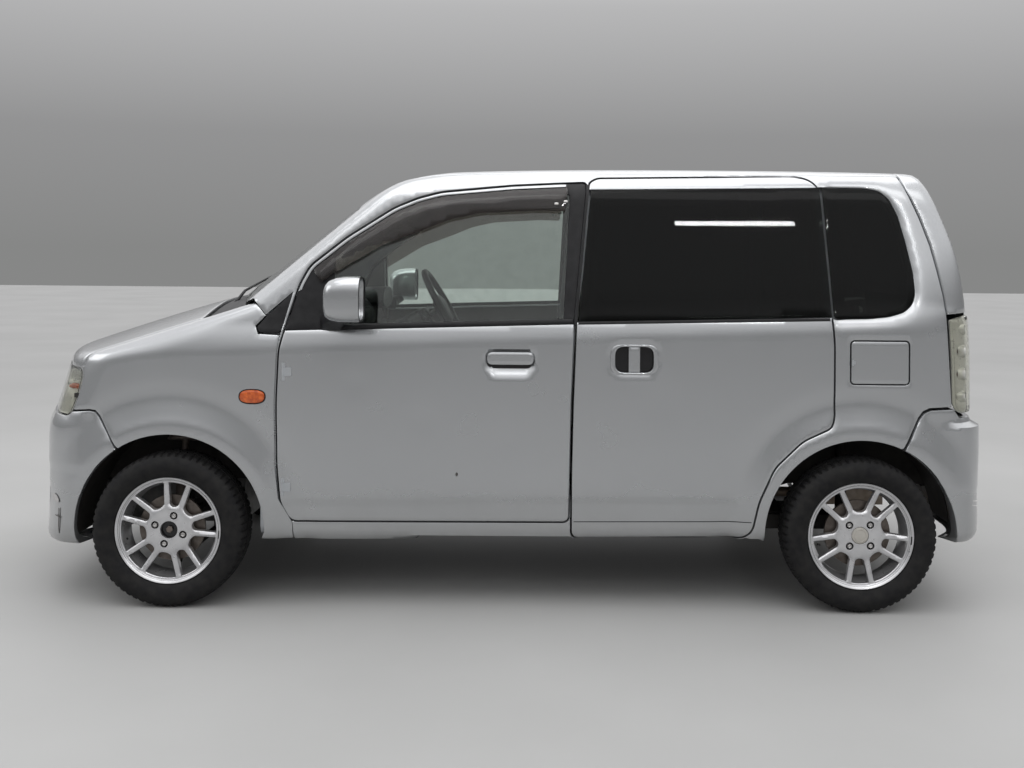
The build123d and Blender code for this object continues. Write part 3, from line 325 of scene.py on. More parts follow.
class Round:
    """Rays into a vertical axis near an end of the car, fanned over its top; u is the turn times a radius."""
    RADIUS, CENTRE_X, REACH = 450.0, 1250.0, 1000.0

    def __init__(self, end, top_z=1e9, part="whole"):
        self.end, self.part, self.top_z = end, part, top_z

    def rays(self, u, v):
        a = u / self.RADIUS
        lift = np.clip((v - self.top_z) / self.RADIUS, 0, 1.5)
        out = np.stack([self.end * np.cos(a) * np.cos(lift), np.sin(a) * np.cos(lift), np.sin(lift)], 1)
        centre = np.stack([np.full(len(u), self.end * self.CENTRE_X), np.zeros(len(u)),
                           np.minimum(v, self.top_z)], 1)
        return centre + out * self.REACH, -out, self.REACH

    def uv(self, p):
        dx, dy, v = p[:, 0] * self.end - self.CENTRE_X, p[:, 1], p[:, 2].copy()
        over = v > self.top_z
        v[over] = self.top_z + np.arctan2(v[over] - self.top_z, np.hypot(dx, dy)[over]) * self.RADIUS
        return np.stack([np.arctan2(dy, dx) * self.RADIUS, v], 1)


def halved(family, start, along, low, high, depth, rounds):
    """Distances along rays to a depth, by halving the range between low and high."""
    for _ in range(rounds):
        mid = (low + high) / 2
        inside = shape(start + along * mid[:, None], family.part) + depth < 0
        high, low = np.where(inside, mid, high), np.where(inside, low, mid)
    return high


MARCH_STEPS, FRONT_ROUNDS, BACK_ROUNDS = 26, 14, 12


def hit(family, uv, depth, deeper=None):
    """Points where a family's rays come a depth below the painted surface, and a second, deeper set."""
    if hasattr(family, "surface"):
        return (family.surface(uv, depth) if deeper is None
                else (family.surface(uv, depth), family.surface(uv, deeper)))
    start, along, reach = family.rays(uv[:, 0], uv[:, 1])
    steps = np.linspace(0, reach, MARCH_STEPS)
    high, found = np.full(len(uv), reach), np.zeros(len(uv), bool)
    for step in steps:
        todo = np.flatnonzero(~found)
        if not len(todo):
            break
        at_depth = depth[todo] if np.ndim(depth) else depth
        inside = shape(start[todo] + along[todo] * step, family.part) + at_depth < 0
        high[todo[inside]] = step
        found[todo[inside]] = True
    first = halved(family, start, along, high - steps[1], high, depth, FRONT_ROUNDS)
    points = start + along * first[:, None]
    if deeper is None:
        return points
    room = (deeper - depth) * 3 + 6
    second = halved(family, start, along, first, np.minimum(first + room, reach), deeper, BACK_ROUNDS)
    return points, start + along * second[:, None]


onto_side = {side: Straight(1, side * 860.0, 560.0) for side in SIDES}
onto_nose, onto_tail = (Straight(0, end * 1800.0, 900.0) for end in (-1, 1))
cabin_top, nose_top = (Straight(2, 1640.0, 1200.0, part) for part in ("cabin", "nose"))
nose, tail, gate = Round(-1), Round(1), Round(1, 1380.0)


def on_shape(family, points):
    """Places on the painted surface for points in a family's u and v."""
    return hit(family, np.array(points, float), 0.0)


def on_top(x, y, up):
    """Place above the roof, windscreen or cowl."""
    p = on_shape(cabin_top, [(x, y)])[0]
    return Vector((p[0], p[1], p[2] + up))


def in_uv(family, places):
    """A line of places as an outline in a family's u and v."""
    return [tuple(q) for q in family.uv(np.array(places))]


# ---------------------------------------------------------------- materials
class Look:
    """Material made of nodes; what is the same all over sits on the shader's own sockets."""

    def __init__(self, name):
        self.material = bpy.data.materials.new(name)
        self.material.use_nodes = True
        self.tree = self.material.node_tree
        self.at = self.node("TexCoord", "Object", {})

    def feed(self, node, inputs):
        """Set a node's inputs, or link those that are given another node's output."""
        for key, value in inputs.items():
            if isinstance(value, bpy.types.NodeSocket):
                self.tree.links.new(value, node.inputs[key])
            else:
                node.inputs[key].default_value = (*value, 1) if isinstance(value, tuple) else value

    def node(self, kind, output, inputs, **settings):
        node = self.tree.nodes.new(f"ShaderNode{kind}")
        for key, value in settings.items():
            setattr(node, key, value)
        self.feed(node, inputs)
        return node.outputs[output]

    def noise(self, scale, detail, rough=0.5):
        return self.node("TexNoise", "Fac", {"Vector": self.at, "Scale": scale, "Detail": detail,
                                             "Roughness": rough})

    def ramp(self, value, low, dark, high, light):
        colour = self.node("ValToRGB", "Color", {"Fac": value})
        for element, at, shade in zip(colour.node.color_ramp.elements, (low, high), (dark, light)):
            element.position, element.color = at, (*shade, 1)
        return colour

    def maths(self, kind, *values, clamp=False):
        return self.node("Math", 0, dict(enumerate(values)), operation=kind, use_clamp=clamp)

    def mixed(self, factor, a, b):
        return self.node("Mix", 2, {0: factor, 6: a, 7: b}, data_type="RGBA")

    def ranged(self, value, low, high, start=0.0, end=1.0):
        return self.node("MapRange", "Result", {"Value": value, "From Min": start, "From Max": end,
                                                "To Min": low, "To Max": high})

    def axes(self):
        return self.node("SeparateXYZ", 0, {0: self.at}).node.outputs

    def done(self, height=None, strength=0.5, distance=0.0002, **sockets):
        """Put values on the shader: colour, roughness and so on, and a bump from a height."""
        shader = self.tree.nodes["Principled BSDF"]
        self.feed(shader, {key.replace("_", " "): value for key, value in sockets.items()})
        if height:
            self.feed(shader, {"Normal": self.node("Bump", "Normal", {
                "Strength": strength, "Distance": distance, "Height": height})})
        return self.material


def grained(name, dark, light, scale, roughness, metallic=0.0, bump_scale=None, bump_depth=0.0002,
            spread=0.08, coat=0.0, gloss=0.5):
    """Material with mottled colour, uneven roughness and a fine raised grain."""
    look = Look(name)
    colour = look.ramp(look.noise(scale, 4.0), 0.3, dark, 0.7, light)
    rough = look.ranged(look.noise(scale * 2.3, 3.0), max(roughness - spread, 0.02),
                        min(roughness + spread, 1.0))
    return look.done(look.noise(bump_scale, 2.0) if bump_scale else None, 0.5, bump_depth, Base_Color=colour,
                     Roughness=rough, Metallic=metallic, Specular_IOR_Level=gloss, Coat_Weight=coat)


def paint(name, base):
    """Silver metallic paint: flake under clear coat, faint dirt low down and fine dust."""
    look = Look(name)
    colour = look.ramp(look.noise(2600, 0.0), 0.35, tuple(c * 0.93 for c in base), 0.65,
                       tuple(min(c * 1.07, 1) for c in base))
    low_down = look.ranged(look.axes()["Z"], 0.55, 0.0, 0.16, 0.42)
    dirt = look.maths("MULTIPLY", low_down, look.noise(9, 6.0, 0.65), clamp=True)
    rough = look.maths("MULTIPLY_ADD", look.noise(6, 5.0), 0.08, 0.22)
    return look.done(look.noise(420, 1.0), 0.05, Base_Color=look.mixed(dirt, colour, (0.20, 0.185, 0.165)),
                     Roughness=look.maths("ADD", rough, look.maths("MULTIPLY", dirt, 0.4)),
                     Metallic=0.88, Coat_Weight=0.8, Coat_Roughness=0.06)


def glass(name, tint, roughness=0.0, transmission=1.0, smear=30, bend=1.45):
    """Tinted glass with faint smears in its gloss."""
    look = Look(name)
    haze = look.noise(smear, 5.0)
    return look.done(Base_Color=look.ramp(haze, 0.4, tuple(c * 0.96 for c in tint), 0.6, tint),
                     Roughness=look.ranged(haze, roughness, roughness + 0.03), IOR=bend,
                     Transmission_Weight=transmission)


def cloth(name, dark, light, weave, sheen):
    """Woven cloth: crossed threads with slight colour change and sheen."""
    look = Look(name)
    axes = look.axes()
    x, y, z = (look.maths("SINE", look.maths("MULTIPLY", axes[axis], weave * 2)) for axis in "XYZ")
    cross = look.maths("MULTIPLY", look.maths("ADD", x, z), y)
    colour = look.ramp(look.noise(60, 4.0), 0.3, dark, 0.7, light)
    colour = look.mixed(look.maths("MULTIPLY_ADD", cross, 0.12, 0.15), colour, light)
    return look.done(cross, 0.6, 0.0006, Base_Color=colour, Roughness=0.9, Sheen_Weight=sheen)


M = {
    "paint": paint("paint_silver", (0.43, 0.44, 0.45)),
    "inner_paint": grained("paint_inside", (0.33, 0.345, 0.36), (0.37, 0.385, 0.40), 14, 0.5, 0.3),
    "clear": glass("glass_clear", (0.81, 0.88, 0.84)),
    "smoke": glass("acrylic_smoke", (0.24, 0.20, 0.185)),
    "bulb": glass("bulb_clear", (0.90, 0.90, 0.88), 0.05, 0.8),
    "privacy": glass("glass_privacy", (0.022, 0.025, 0.023), transmission=0.95, smear=6, bend=1.24),
    "lens": glass("lens_clear", (0.94, 0.94, 0.88), 0.04),
    "red": glass("lens_red", (0.55, 0.02, 0.02), 0.03, 0.6),
    "amber": grained("lens_amber", (0.33, 0.045, 0.004), (0.62, 0.12, 0.012), 80, 0.2, coat=0.6),
    "mirror": grained("mirror_silver", (0.80,) * 3, (0.86,) * 3, 4, 0.06, 1.0, spread=0.02),
    "chrome": grained("reflector_bright", (0.70,) * 3, (0.80,) * 3, 60, 0.16, 1.0),
    "black": grained("trim_black", (0.007, 0.007, 0.008), (0.014, 0.014, 0.015), 40, 0.42, bump_scale=1400,
                     gloss=0.25),
    "gloss_black": grained("trim_gloss_black", (0.006, 0.006, 0.007), (0.010, 0.010, 0.011), 30, 0.16,
                           gloss=0.4),
    "rubber": grained("seal_rubber", (0.010,) * 3, (0.018, 0.017, 0.016), 60, 0.75, bump_scale=700,
                      gloss=0.2),
    "tyre": grained("tyre_rubber", (0.009, 0.009, 0.010), (0.018, 0.0175, 0.017), 38, 0.70, 0.0, 900, 0.0003,
                    gloss=0.15),
    "rim": grained("rim_alloy", (0.52, 0.52, 0.53), (0.62, 0.62, 0.63), 24, 0.30, 0.85, 700, coat=0.4),
    "cap": grained("cap_silver", (0.44, 0.42, 0.38), (0.52, 0.50, 0.46), 24, 0.34, 0.5, coat=0.3),
    "iron": grained("cast_iron", (0.10, 0.085, 0.075), (0.20, 0.17, 0.15), 70, 0.62, 0.7, 500, 0.0006),
    # Dark brownish steel of hubs, brakes and plate bolts: partly rust, partly painted shade for the inside of
    # the wheels behind the spokes.
    "disc": grained("brake_steel_with_painted_shade", (0.085, 0.070, 0.060), (0.16, 0.14, 0.125), 50, 0.48, 0.8, 300),
    "steel": grained("bright_steel", (0.42, 0.41, 0.40), (0.55, 0.54, 0.53), 60, 0.30, 0.95, 500),
    "milk": grained("lamp_pale", (0.50, 0.50, 0.47), (0.62, 0.62, 0.58), 30, 0.30, 0.35, coat=0.6),
    "under": grained("underbody_black", (0.014, 0.013, 0.012), (0.032, 0.029, 0.026), 18, 0.7, 0.0, 260,
                     0.0006, gloss=0.3),
    "engine": grained("engine_cast", (0.10,) * 3, (0.19, 0.185, 0.18), 40, 0.55, 0.6, 320, 0.0008),
    "exhaust": grained("exhaust_steel", (0.16, 0.12, 0.09), (0.30, 0.26, 0.22), 26, 0.5, 0.8, 400, 0.0004),
    "dash": grained("dash_plastic", (0.045, 0.046, 0.047), (0.065, 0.066, 0.067), 30, 0.62, bump_scale=1100,
                    gloss=0.3),
    "panel": grained("door_trim_grey", (0.075, 0.073, 0.070), (0.10, 0.098, 0.094), 30, 0.7, bump_scale=1000,
                     gloss=0.3),
    "headliner": cloth("headliner_cloth", (0.36, 0.35, 0.33), (0.44, 0.43, 0.41), 1200, 0.2),
    "carpet": cloth("carpet", (0.035,) * 3, (0.06, 0.058, 0.055), 500, 0.2),
    "seat": cloth("seat_cloth", (0.115, 0.11, 0.105), (0.17, 0.163, 0.155), 900, 0.45),
    "plate": grained("plate_blank", (0.72, 0.70, 0.30), (0.78, 0.76, 0.34), 20, 0.4, spread=0.05),
    "scuff": grained("scuff_dark", (0.035, 0.033, 0.03), (0.10, 0.095, 0.09), 160, 0.8),
    "worn": grained("paint_worn", (0.34, 0.335, 0.33), (0.46, 0.45, 0.445), 130, 0.75),
    "scratch": grained("scratch_pale", (0.52, 0.51, 0.50), (0.66, 0.65, 0.64), 200, 0.7),
}


# ---------------------------------------------------------------- meshes
class Build:
    """Vertices and faces gathered in millimetres, several shells to one mesh."""

    def __init__(self):
        self.points, self.faces, self.mats = [], [], []

    def add(self, points, faces, mat=0):
        base = len(self.points)
        self.points += [tuple(p) for p in points]
        self.faces += [tuple(base + i for i in f) for f in faces]
        self.mats += [mat] * len(faces)

    def obj(self, name, mats, body, slot, replaces=(), sharp=38):
        """Object that rides on a body, smooth but for edges sharper than an angle."""
        mesh = bpy.data.meshes.new(name)
        mesh.from_pydata([tuple(c * MM for c in p) for p in self.points], [], self.faces)
        mesh.polygons.foreach_set("material_index", self.mats)
        mesh.update()
        bm = bmesh.new()
        bm.from_mesh(mesh)
        bmesh.ops.remove_doubles(bm, verts=bm.verts, dist=1e-6)
        bmesh.ops.recalc_face_normals(bm, faces=bm.faces)
        for face in bm.faces:
            face.smooth = True
        for edge in bm.edges:
            edge.smooth = len(edge.link_faces) == 2 and edge.calc_face_angle(0) < radians(sharp)
        bm.to_mesh(mesh)
        bm.free()
        obj = bpy.data.objects.new(name, mesh)
        bpy.context.scene.collection.objects.link(obj)
        for mat in (mats,) if isinstance(mats, str) else mats:
            mesh.materials.append(M[mat])
        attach(obj, body)
        if replaces:
            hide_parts(*replaces)
        return obj

    def loft(self, sections, mat=0, closed=False, caps=True):
        """Skin over rings with the same number of points; open ends are capped."""
        n, count = len(sections[0]), len(sections)
        faces = []
        for s in range(count if closed else count - 1):
            here, there = s * n, (s + 1) % count * n
            faces += [(here + i, here + (i + 1) % n, there + (i + 1) % n, there + i) for i in range(n)]
        if caps and not closed:
            faces += [tuple(range(n))[::-1], tuple((count - 1) * n + i for i in range(n))]
        self.add([p for section in sections for p in section], faces, mat)

    def tube(self, path, radius, sides=12, closed=False):
        """Round bar along a path of points; radius may be one for each point."""
        path = [Vector(p) for p in path]
        n = len(path)
        radii = radius if isinstance(radius, (list, tuple)) else [radius] * n
        rings, up = [], None
        for i, p in enumerate(path):
            a = path[(i - 1) % n] if closed or i else p
            b = path[(i + 1) % n] if closed or i < n - 1 else p
            d = (b - a).normalized()
            if up is None:
                up = d.orthogonal().normalized()
            up = (up - d * up.dot(d)).normalized()
            w = d.cross(up)
            rings.append([p + (up * cos(t) + w * sin(t)) * radii[i]
                          for t in (2 * pi * k / sides for k in range(sides))])
        self.loft(rings, closed=closed)

    def turned(self, profile, origin, axis, mat=0, steps=64, start=0.0, sweep=2 * pi):
        """Profile of (along, radius) pairs turned about an axis."""
        origin, axis = Vector(origin), Vector(axis).normalized()
        up = axis.orthogonal().normalized()
        w = axis.cross(up)
        full = abs(sweep - 2 * pi) < 1e-6
        turns = [start + sweep * s / steps for s in range(steps if full else steps + 1)]
        self.loft([[origin + axis * a + (up * cos(t) + w * sin(t)) * r for a, r in profile] for t in turns],
                  mat, closed=full, caps=False)

    def bar(self, low, high, edge=2.0):
        """Box with eased edges between two corners."""
        bm = bmesh.new()
        bmesh.ops.create_cube(bm, size=1)
        size = [b - a for a, b in zip(low, high)]
        for vert in bm.verts:
            vert.co = [a + s * (c + 0.5) for a, s, c in zip(low, size, vert.co)]
        bmesh.ops.bevel(bm, geom=bm.edges[:] + bm.verts[:], offset=min(edge, min(size) * 0.45), segments=2,
                        profile=0.6, affect="EDGES")
        bm.verts.ensure_lookup_table()
        bm.verts.index_update()
        self.add([v.co for v in bm.verts], [[v.index for v in f.verts] for f in bm.faces])
        bm.free()


BORDER_STEP = 9.0


def panel(build, family, outline, holes=(), top=0.0, thickness=2.5, grid=17.0, lip=3.0, mat=0, inner_mat=None,
          relief=None):
    """Sheet on the body's shape inside an outline in the family's u and v, with eased edges."""
    loops = [dense(list(loop), BORDER_STEP) for loop in (outline, *holes)]
    points, edges = [], []
    for loop in loops:
        base = len(points)
        points += loop
        edges += [(base + i, base + (i + 1) % len(loop)) for i in range(len(loop))]
    border = [np.array(loop) for loop in loops]

    def away(p):
        """Distance from the outline and the holes, positive on the sheet."""
        return np.min([-signed_distance(p, border[0]), *(signed_distance(p, hole) for hole in border[1:])],
                      axis=0)
    extra = []
    if lip:
        for loop_at, loop in enumerate(loops):
            for inset in (0.3 * lip, lip):
                ring = np.array(moved_out(loop, inset if loop_at else -inset))
                extra.append(ring[away(ring) > inset * 0.85])
    u, v = (np.arange(border[0][:, k].min(), border[0][:, k].max(), grid) for k in (0, 1))
    uu, vv = np.meshgrid(u, v, indexing="ij")
    uu = uu + (np.arange(len(v)) % 2)[None, :] * grid / 2
    inside = np.stack([uu.ravel(), vv.ravel()], 1)
    extra.append(inside[away(inside) > lip + grid * 0.4])
    flat = [Vector(p) for p in points] + [Vector(p) for p in np.concatenate(extra)]
    verts, _, tris, *_ = geometry.delaunay_2d_cdt(flat, edges, [], 0, 1e-4)
    uv = np.array([tuple(p) for p in verts])
    tris = np.array([t for t in tris if len(t) == 3])
    tris = tris[away(uv[tris].mean(1)) > 0]
    used = np.unique(tris)
    remap = np.full(len(uv), -1)
    remap[used] = np.arange(len(used))
    uv, tris = uv[used], remap[tris]
    drop = np.zeros(len(uv))
    if lip:
        t = np.clip(1 - np.clip(away(uv), 0, None) / lip, 0, 1)
        drop = lip * (1 - np.sqrt(np.clip(1 - t * t, 0, 1)))
    if relief is not None:
        drop = drop + relief(uv)
    front, back = hit(family, uv, top + drop, top + np.maximum(thickness, drop + 0.5))
    n = len(uv)
    pairs = {e: 1 for a, b, c in tris for e in ((a, b), (b, c), (c, a))}
    rim = [e for e in pairs if (e[1], e[0]) not in pairs]
    base = len(build.points)
    build.add([*front, *back], [*map(tuple, tris), *((b, a, a + n, b + n) for a, b in rim)], mat)
    build.faces += [tuple(base + n + i for i in t[::-1]) for t in tris]
    build.mats += [mat if inner_mat is None else inner_mat] * len(tris)


def sheet(name, mats, body, slot, family, outline, holes=(), replaces=(), **how):
    """A piece that is one panel."""
    b = Build()
    panel(b, family, outline, holes, **how)
    b.obj(name, mats, body, slot, replaces)


def end_outline(family, corners, step=1e9, radius=0.0):
    """Outline in Y and Z on the nose or tail, as one in the family's u and v; rounded by a radius."""
    line = in_uv(family, on_shape(onto_nose if family is nose else onto_tail, dense(corners, step)))
    return rounded(line[::2], radius) if radius else line


def side_outline(family, points):
    """Outline in X and Z on the left side, as one in the family's u and v."""
    return in_uv(family, on_shape(onto_side[-1], points))


# ---------------------------------------------------------------- outlines seen from the side
front_door_line = rounded((
    (-693, 295), (-727, 357), (-741, 493), (-744, 700), (-738, 872), (-725, 926), (-677, 1092),
    (-644, 1156), (-523, 1254), (-363, 1358), (-283, 1392), (-202, 1414), (45, 1439), (208, 1448),
    (297, 1452), (300, 1429), (258, 967), (249, 700), (246, 460), (244, 299)), 22)
rear_door_line = rounded((
    (256, 242), (833, 250), (863, 276), (884, 374), (937, 491), (1031, 582), (1127, 627), (1137, 660),
    (1137, 908), (1130, 990), (1108, 1438), (1078, 1470), (1030, 1481), (338, 1468), (312, 1452),
    (310, 1429), (268, 967), (259, 700), (255, 460)), 26)
rear_window_line = rounded(((330, 985), (1075, 1005), (1056, 1425), (366, 1412)), 26)
quarter_glass_line = rounded((
    (1140, 992), (1258, 995), (1326, 1002), (1378, 1017), (1408, 1043), (1419, 1078), (1416, 1144),
    (1398, 1246), (1376, 1343), (1350, 1402), (1318, 1432), (1268, 1441), (1118, 1443)), 14)
quarter_hole = [(x - 22 if x < 1145 else x, z) for x, z in moved_out(quarter_glass_line, 1.5)]
slide_glass_line = rounded(((274, 976), (1133, 997), (1110, 1442), (316, 1428)), 6)
door_glass_line = rounded(((-561, 946), (222, 971), (242, 1412), (45, 1404), (-202, 1380), (-283, 1359),
                           (-363, 1325), (-480, 1248), (-561, 1184)), 12)
flap_line = rounded(((1195, 775), (1390, 775), (1390, 918), (1195, 918)), 14)
garnish_line = rounded(((-742, 928), (-810, 930), (-818, 950), (-787, 984), (-706, 1064), (-690, 1056),
                        (-700, 1010)), 8)
pillar_line = ((-800, 235), (-800, 985), (-690, 1070), (-640, 1070), (-640, 235))
gate_side = [(1413, 1440), (1454, 1337), (1483, 1247), (1503, 1157), (1521, 1072), (1530, 1010)]
bumper_side_rear = ((1376, 556), (1410, 620), (1429, 657), (1446, 678), (1468, 688), (1552, 690))
fender_rear = ((-690, 290), (-735, 370), (-750, 493), (-753, 700), (-747, 872), (-738, 922))

screen_edge = dense(((-870, -640), (-600, -578), (-500, -548)), 30, closed=False)
roof_edge = [(x, -ROOF_EDGE_Y) for x in np.linspace(-500, 1392, 60)]
body_side_line = [(-684, 196), *fender_rear, (-700, 1068), (-789, 990), (-837, 1044)]
body_side_line += [(p[0], p[2]) for p in on_shape(cabin_top, screen_edge + roof_edge)]
body_side_line += [(x - 6, z) for x, z in gate_side] + [(1546, 696)]
body_side_line += [(x - 4, z + 5) for x, z in reversed(bumper_side_rear[:-1])]
body_side_line += arch(REAR_AXLE_X, 66, 187) + [(880, 214), (830, 234)]

# ---------------------------------------------------------------- fixed body sides
REVEAL_WIDTH, REVEAL_DEPTH = 34.0, 7.0
INNER = {"top": SKIN + SEAL, "thickness": WALL - SKIN - SEAL, "lip": 0, "mat": 1}
PANE = {"top": 1.5, "thickness": 4.5, "lip": 1.5}


def window_reveal(uv):
    """Soft hollow that leads in to the rear quarter window."""
    t = np.clip(1 - signed_distance(uv, quarter_hole) / REVEAL_WIDTH, 0, 1)
    return REVEAL_DEPTH * t * t * ease((uv[:, 0] - 1136) / 12)


def jamb(door_line, hinge_x, fade):
    """Opening behind a door, with room for the hinges in front of hinge_x."""
    return [(x - HINGE_ROOM * ease((hinge_x - x) / fade), z) for x, z in moved_out(door_line, -JAMB_INSET)]


jambs = [jamb(front_door_line, -640, 60), jamb(rear_door_line, 330, 40)]
for side, word in SIDES.items():
    family = onto_side[side]
    b = Build()
    holes = [moved_out(front_door_line, GAP - 2), moved_out(rear_door_line, GAP - 2), quarter_hole]
    if side < 0:
        holes.append(moved_out(flap_line, 4))
    panel(b, family, body_side_line, holes, thickness=SKIN + SEAL, inner_mat=1, relief=window_reveal)
    panel(b, family, moved_out(body_side_line, -4), [*jambs, moved_out(quarter_glass_line, -14)], **INNER)
    panel(b, family, pillar_line, jambs[:1], **INNER)
    b.obj(f"side_shell_{word}", ("paint", "inner_paint"), "body", "paint_silver", (f"body_side_{word}",))
    sheet(f"quarter_pane_{word}", "privacy", "body", "privacy_glass", family, quarter_glass_line,
          replaces=("quarter_glass",) if side < 0 else (),
          relief=lambda uv: (REVEAL_DEPTH - 1.0) * ease((uv[:, 0] - 1130) / 60), **PANE)
    sheet(f"pillar_garnish_{word}", "black", "body", "black_trim", family, garnish_line, top=2, thickness=14)

# ---------------------------------------------------------------- front fenders
FENDER_COLUMNS, FENDER_SAMPLES = 64, 90
lamp_rear_edge = ((-1434, 806), (-1424, 796), (-1417, 776), (-1425, 740), (-1435, 703), (-1447, 672),
                  (-1452, 658))
for side, word in SIDES.items():
    family = Shoulder(side)
    top_line = []
    for x in np.linspace(-837, -1426, FENDER_COLUMNS):
        u = np.full(FENDER_SAMPLES, x)
        v = family.turn_z(u) + np.linspace(-20, 190, FENDER_SAMPLES)
        inside = np.abs(hit(family, np.stack([u, v], 1), 0.0)[:, 1]) < BONNET_SIDE_Y + GAP
        if not inside[:20].any():
            top_line.append((x, v[np.argmax(inside)] if inside.any() else v[-1]))
    line = [(-688, 232), *fender_rear, (-812, 926), (-822, 952), (-789, 990), *top_line,
            *in_uv(family, on_shape(onto_side[side], lamp_rear_edge)), (-1385, 664), (-1364, 661),
            (-1348, 644), (-1333, 618), (-1311, 581), (-1289, 545), *arch(FRONT_AXLE_X, 122, 0), (-795, 232)]
    sheet(f"fender_{word}", "paint", "body", "paint_silver", family, line,
          replaces=("front_fenders",) if side < 0 else (), thickness=SKIN, grid=14)

# ---------------------------------------------------------------- roof, windscreen, cowl
b = Build()
roof_line = box_line((448, 0), (948, ROOF_EDGE_Y - 3))
panel(b, cabin_top, dense(roof_line, 30), thickness=8, grid=26, lip=2)
panel(b, cabin_top, dense(moved_out(roof_line, -22), 30), top=ROOF_THICKNESS - 4, thickness=4, grid=60, lip=0,
      mat=1)
b.obj("roof_skin", ("paint", "headliner"), "body", "paint_silver", ("roof",))
screen_half = ((-955, 0), (-948, -200), (-925, -400), (-892, -560), (-870, -640), (-600, -578), (-504, -549),
               (-504, 0))
screen_outline = dense(mirrored(screen_half, 1), 30)
sheet("windscreen_pane", "clear", "body", "clear_glass", cabin_top, moved_out(screen_outline, -2),
      replaces=("windscreen",), top=1.0, thickness=5, grid=34, lip=1.5)
sheet("windscreen_border", "gloss_black", "body", "black_trim", cabin_top, moved_out(screen_outline, -3),
      [moved_out(screen_outline, -42)], top=6.2, thickness=2.5, lip=0)
cowl_half = ((-1001, 0), (-1001, -640), (-868, -640), (-890, -560), (-923, -400), (-946, -200), (-953, 0))
sheet("cowl_louvre", "black", "body", "black_trim", nose_top, mirrored(cowl_half, 1), replaces=("cowl",),
      top=9, thickness=8, grid=20, relief=lambda uv: 2.0 * (np.sin(uv[:, 1] / 5.5) > 0.2)
      * (np.abs(uv[:, 1]) < 420))

# ---------------------------------------------------------------- bonnet
lip_uv = np.stack([np.linspace(0, 700, 90), np.full(90, BONNET_FRONT_Z)], 1)
lip_xy = [(x, abs(y)) for x, y, _ in hit(Round(-1, part="nose"), lip_uv, 0.0) if abs(y) < BONNET_SIDE_Y]
bonnet_half = [(BONNET_REAR_X, 0), (BONNET_REAR_X, BONNET_SIDE_Y)] + [
    (x, BONNET_SIDE_Y) for x in np.linspace(-1050, lip_xy[-1][0] + 10, 16)] + lip_xy[::-1]
sheet("bonnet_skin", ("paint", "inner_paint"), "bonnet", "paint_silver", nose_top, mirrored(bonnet_half, 1),
      replaces=("bonnet",), thickness=SKIN - 6, grid=13, inner_mat=1, lip=4)

# ---------------------------------------------------------------- bumpers
FRONT_LOW_Z, REAR_LOW_Z, REAR_HIGH_Z = 186.0, 234.0, 656.0


def level(u, z):
    """Edge at one height from the first place to the second."""
    return [(a, z) for a in np.linspace(*u, 50)]


def bumper_relief(uv):
    """Shallow step under the bumper's upper face and lamp recesses."""
    step = 3.0 * ease((470 - uv[:, 1]) / 16) * ease((uv[:, 1] - 226) / 40)
    return step + 9.0 * ease((58 - np.hypot(np.abs(uv[:, 0]) - 430, uv[:, 1] - 350)) / 10)


def rear_relief(uv):
    """Full corners under a ledge for the tail lamps, and a shallow step low down."""
    turn, z = np.abs(uv[:, 0]), uv[:, 1]
    corner = ease((turn - 372) / 76) * ease((555 - turn) / 75) * ease((644 - z) / 20) * ease((z - 190) / 90)
    return 3.0 * ease((420 - z) / 14) * ease((z - 260) / 20) - 30.0 * corner


front_side = dense(((-1315, 581), (-1337, 615), (-1352, 639), (-1366, 655), (-1385, 659), (-1454, 652),
                    (-1470, 640), (-1484, 635)), 12, closed=False)
half = side_outline(nose, arch(FRONT_AXLE_X, 205, 123.5, 24) + front_side)
half = [(abs(u), v) for u, v in half if v > FRONT_LOW_Z]
high_edge = [(u, np.interp(u, (345, 362), (654.0, 636.0))) for u, _ in level((half[-1][0], 0), 0)[1:]]
intake_line = end_outline(nose, [(-370, 296), (370, 296), (340, 414), (-340, 414)], 25, 8)
sheet("bumper_front_skin", "paint", "body", "paint_silver", nose,
      mirrored(level((0, half[0][0]), FRONT_LOW_Z) + half + high_edge), [intake_line], ("front_bumper",),
      thickness=SKIN - 4, grid=14, relief=bumper_relief)
g = Build()
panel(g, nose, moved_out(intake_line, 12), top=24, thickness=6, grid=9,
      relief=lambda uv: 9.0 * ((np.abs(uv[:, 1] - 355) % 26) > 11))
panel(g, nose, end_outline(nose, box_line((0, 735), (392, 71)), 25), top=7, thickness=10, grid=8,
      relief=lambda uv: 8.0 * ((uv[:, 1] - 672) % 34 > 14))
g.obj("grille_slats", "black", "body", "black_trim", ("grille",))

rear_side = dense([*((x + 2, z - 3) for x, z in bumper_side_rear[1:]), (1580, REAR_HIGH_Z)], 12, closed=False)
half = [(abs(u), v) for u, v in side_outline(tail, arch(REAR_AXLE_X, -8, 63.5, 24) + rear_side)]
rear_bumper_half = level((0, half[0][0]), REAR_LOW_Z) + [(u, max(v, REAR_LOW_Z))
                                                         for u, v in half if v > REAR_LOW_Z - 2]
sheet("bumper_rear_skin", "paint", "body", "paint_silver", tail,
      mirrored(rear_bumper_half + level((half[-1][0], 0), REAR_HIGH_Z)[1:]), replaces=("rear_bumper",),
      thickness=SKIN - 4, grid=14, relief=rear_relief)

# ---------------------------------------------------------------- tailgate
gate_places = [*on_shape(cabin_top, [(1402, y) for y in np.linspace(0, 540, 16)]),
               *on_shape(onto_side[1], dense([(1405, 1470), (1409, 1455), *gate_side], 14, closed=False)),
               *on_shape(onto_tail, dense(((640, 1016), (593, 1012), (593, 676), (0, 676)), 20,
                                          closed=False))]
gate_line = mirrored([(abs(u), v) for u, v in in_uv(gate, gate_places)])
rear_glass_half = ((0, 1035), (-560, 1035), (-575, 1060), (-520, 1400), (-500, 1425), (0, 1440))
rear_glass_line = end_outline(gate, rounded(mirrored(rear_glass_half), 20), 30)
plate_room = end_outline(gate, box_line((0, 825), (185, 80), 14), 30)


